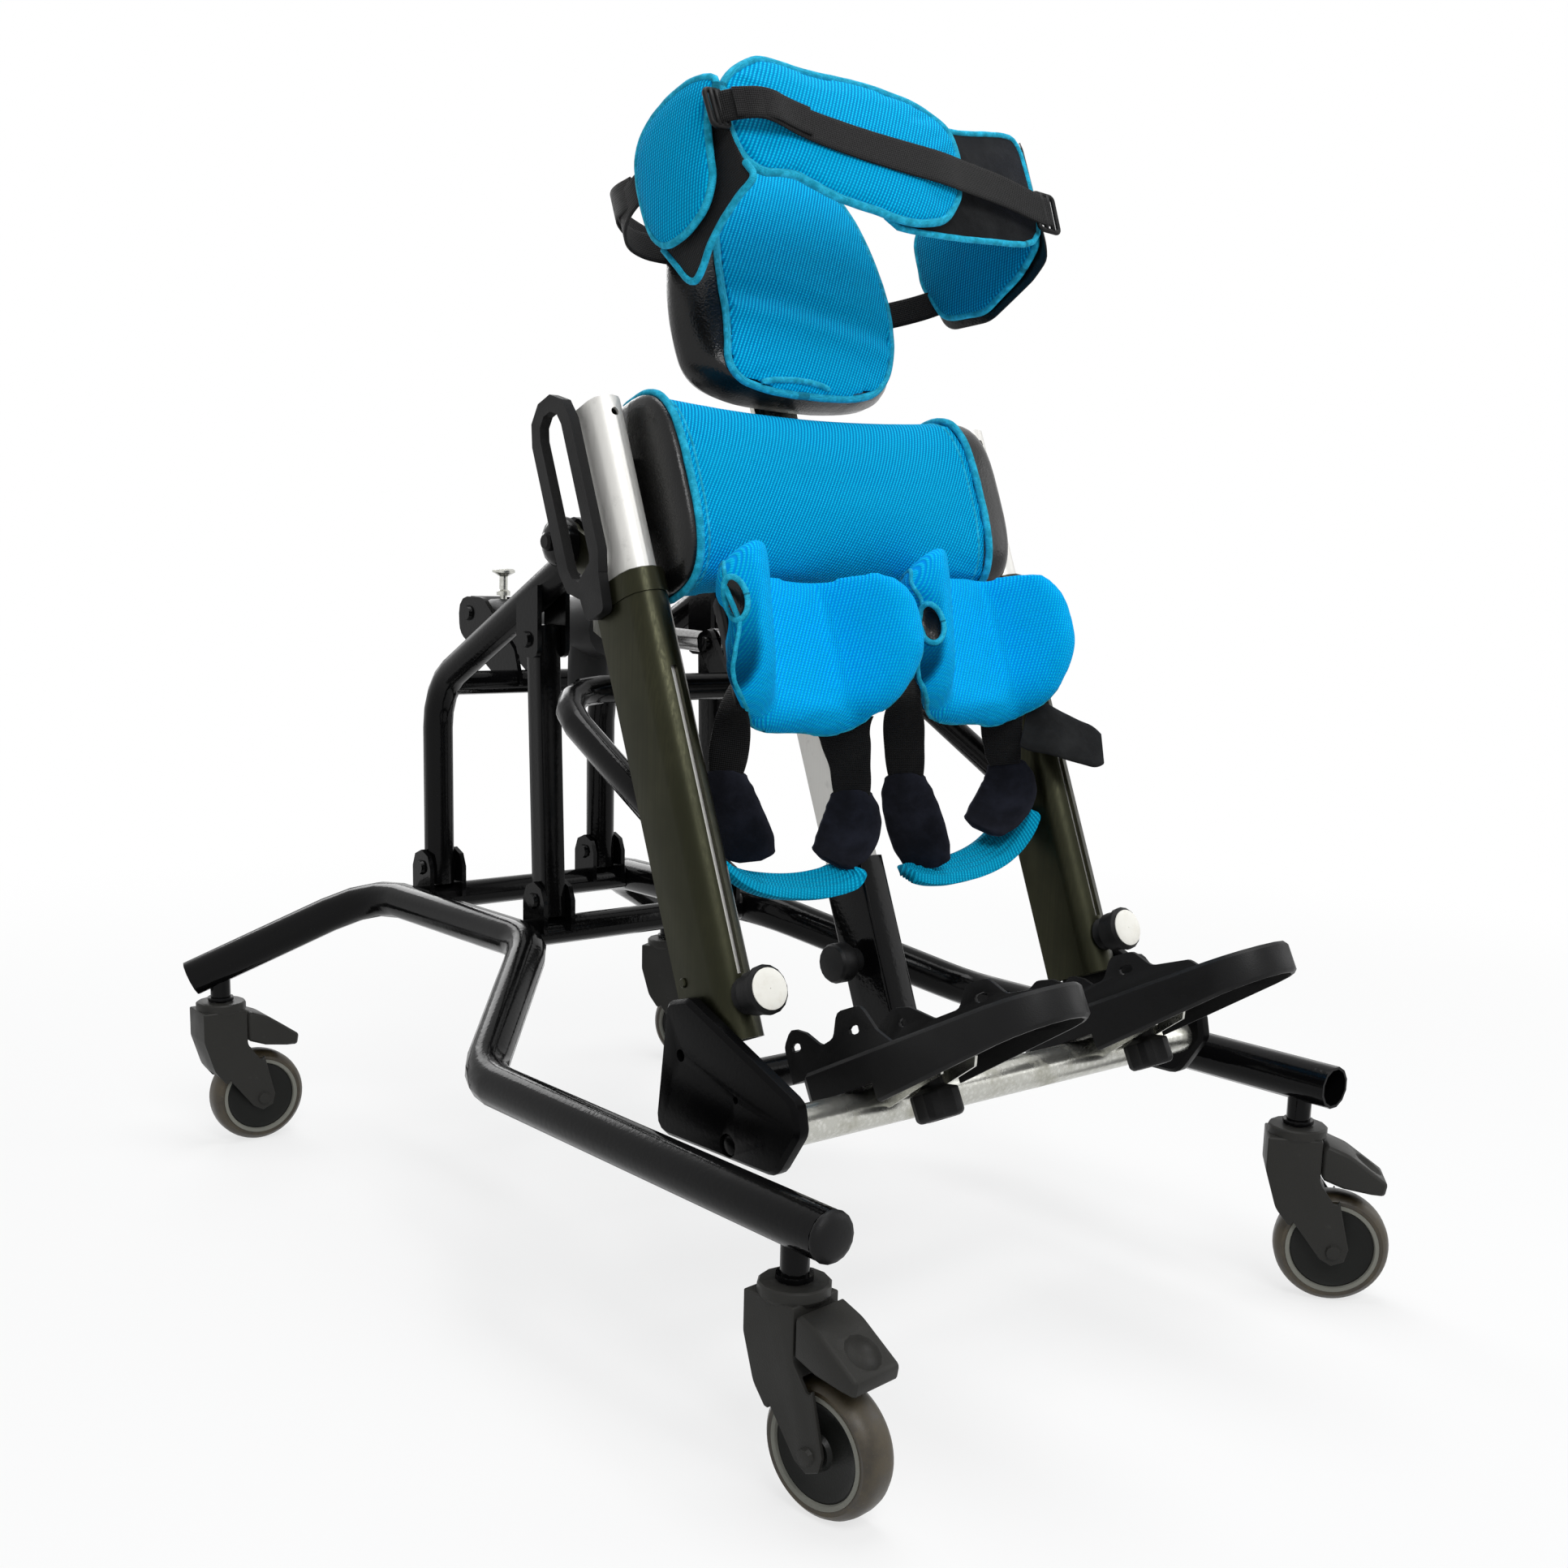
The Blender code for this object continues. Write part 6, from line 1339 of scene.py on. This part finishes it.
def knob_discs():
    """Cream front disc on each clamp knob of the posts, set on the flat end of its CAD node."""
    for _, tag in HANDS:
        at, axis = joint_line("post_knob_turn_" + tag)
        node = frame["nodes"]["post_knob_" + tag]
        spots = [node.matrix_world @ v.co - at for v in node.data.vertices]
        heights = [p.dot(axis) for p in spots]
        if sum(heights) < 0:
            axis = -axis
            heights = [-h for h in heights]
        top = max(heights)
        rim = max((p - axis * h).length for p, h in zip(spots, heights) if h > top - 0.0015)
        profile = [(0.0004, top + 0.0011), (rim * 0.55, top + 0.0010), (rim * 0.86, top + 0.0006),
                   (rim * 0.93, top + 0.0002), (rim * 0.93, top - 0.0006), (0.0004, top - 0.0006)]
        turned("knob_disc_" + tag, profile, (at, axis), "knob_disc", "post_knob_" + tag, 48)
        node.data.materials[0] = FINISH["black_plastic"]


# Stage

def add_camera():
    """The photograph's camera, moved with the tilt pivot from the design's own frame."""
    yaw, pitch, roll = CAMERA_YAW, CAMERA_PITCH, CAMERA_ROLL
    ahead = Vector((math.sin(yaw) * math.cos(pitch), math.cos(yaw) * math.cos(pitch), math.sin(pitch)))
    right = Vector((math.cos(yaw), -math.sin(yaw), 0.0))
    down = ahead.cross(right)
    across = math.cos(roll) * right + math.sin(roll) * down
    below = -math.sin(roll) * right + math.cos(roll) * down
    lens = bpy.data.cameras.new("photo_camera")
    lens.sensor_width = SENSOR
    lens.lens = FOCAL / PHOTO_SIZE * SENSOR
    lens.shift_x = (PHOTO_SIZE / 2 - CENTRE_X) / PHOTO_SIZE
    lens.shift_y = (CENTRE_Y - PHOTO_SIZE / 2) / PHOTO_SIZE
    camera = bpy.data.objects.new("photo_camera", lens)
    rows = Matrix((across, -below, -ahead)).transposed().to_4x4()
    camera.matrix_world = Matrix.Translation(CAMERA_AT + (PIVOT - PIVOT_DESIGN)) @ rows
    bpy.context.scene.collection.objects.link(camera)
    bpy.context.scene.camera = camera


def add_lights():
    for name, (at, size, power) in LIGHTS.items():
        data = bpy.data.lights.new(name, "AREA")
        data.shape = "RECTANGLE"
        data.size, data.size_y = size
        data.energy = power
        lamp = bpy.data.objects.new(name, data)
        lamp.location = at
        lamp.rotation_euler = (LIGHT_AIM - Vector(at)).to_track_quat("-Z", "Y").to_euler()
        bpy.context.scene.collection.objects.link(lamp)


def seen_share(tree):
    """1 for camera, glossy and transmission rays, 0 for the rays that light the object."""
    path = tree.nodes.new("ShaderNodeLightPath")
    share = path.outputs["Is Camera Ray"]
    for kind in ("Is Glossy Ray", "Is Transmission Ray"):
        share = add_node(tree, "ShaderNodeMath", {0: share, 1: path.outputs[kind]}, operation="MAXIMUM")
    return share


def add_world():
    """Pale light from all round; the camera and reflections see plain white."""
    world = bpy.data.worlds.new("studio")
    world.use_nodes = True
    tree = world.node_tree
    tree.nodes.clear()
    ambient = add_node(tree, "ShaderNodeBackground", {"Color": (0.95, 0.98, 1.0), "Strength": 0.27})
    white = add_node(tree, "ShaderNodeBackground", {"Color": WHITE, "Strength": 1.0})
    mixed = add_node(tree, "ShaderNodeMixShader", {0: seen_share(tree), 1: ambient, 2: white})
    add_node(tree, "ShaderNodeOutputWorld", {"Surface": mixed})
    bpy.context.scene.world = world


def add_floor():
    """A pale floor that keeps a faint shadow near the object and fades to white further out."""
    mesh = bpy.data.meshes.new("floor")
    corners = [(-1, -1), (1, -1), (1, 1), (-1, 1)]
    mesh.from_pydata([(x * FLOOR_HALF, y * FLOOR_HALF, 0) for x, y in corners], [], [(0, 1, 2, 3)])
    floor = bpy.data.objects.new("floor", mesh)
    bpy.context.scene.collection.objects.link(floor)
    f = Finish("floor", Base_Color=(0.86, 0.86, 0.86), Roughness=0.9, Specular_IOR_Level=0.0)
    glow = f.node("Emission", {"Color": WHITE})
    radius = f.node("VectorMath", {0: f.place()}, "Value", operation="LENGTH")
    share = f.times(f.span(radius, *FLOOR_FADE, 0.72, 1.0), seen_share(f.tree))
    mixed = f.node("MixShader", {0: share, 1: f.shader.outputs[0], 2: glow})
    feed(f.tree, f.tree.nodes["Material Output"].inputs["Surface"], mixed)
    mesh.materials.append(f.material)


def main():
    noise.seed_set(UNEVEN_SEED)
    bpy.context.scene.view_settings.view_transform = "Standard"
    add_camera()
    dress_nodes()
    pelvic_bolster()
    chest_shell()
    chest_pad()
    for hand, tag in HANDS:
        knee_cup(hand, tag)
        calf_strap(hand, tag)
    wing_left()
    wing_right()
    belt_pad()
    belt_closure()
    belt_webbing()
    rear_straps()
    wheels()
    knob_discs()
    add_floor()
    add_world()
    add_lights()


main()
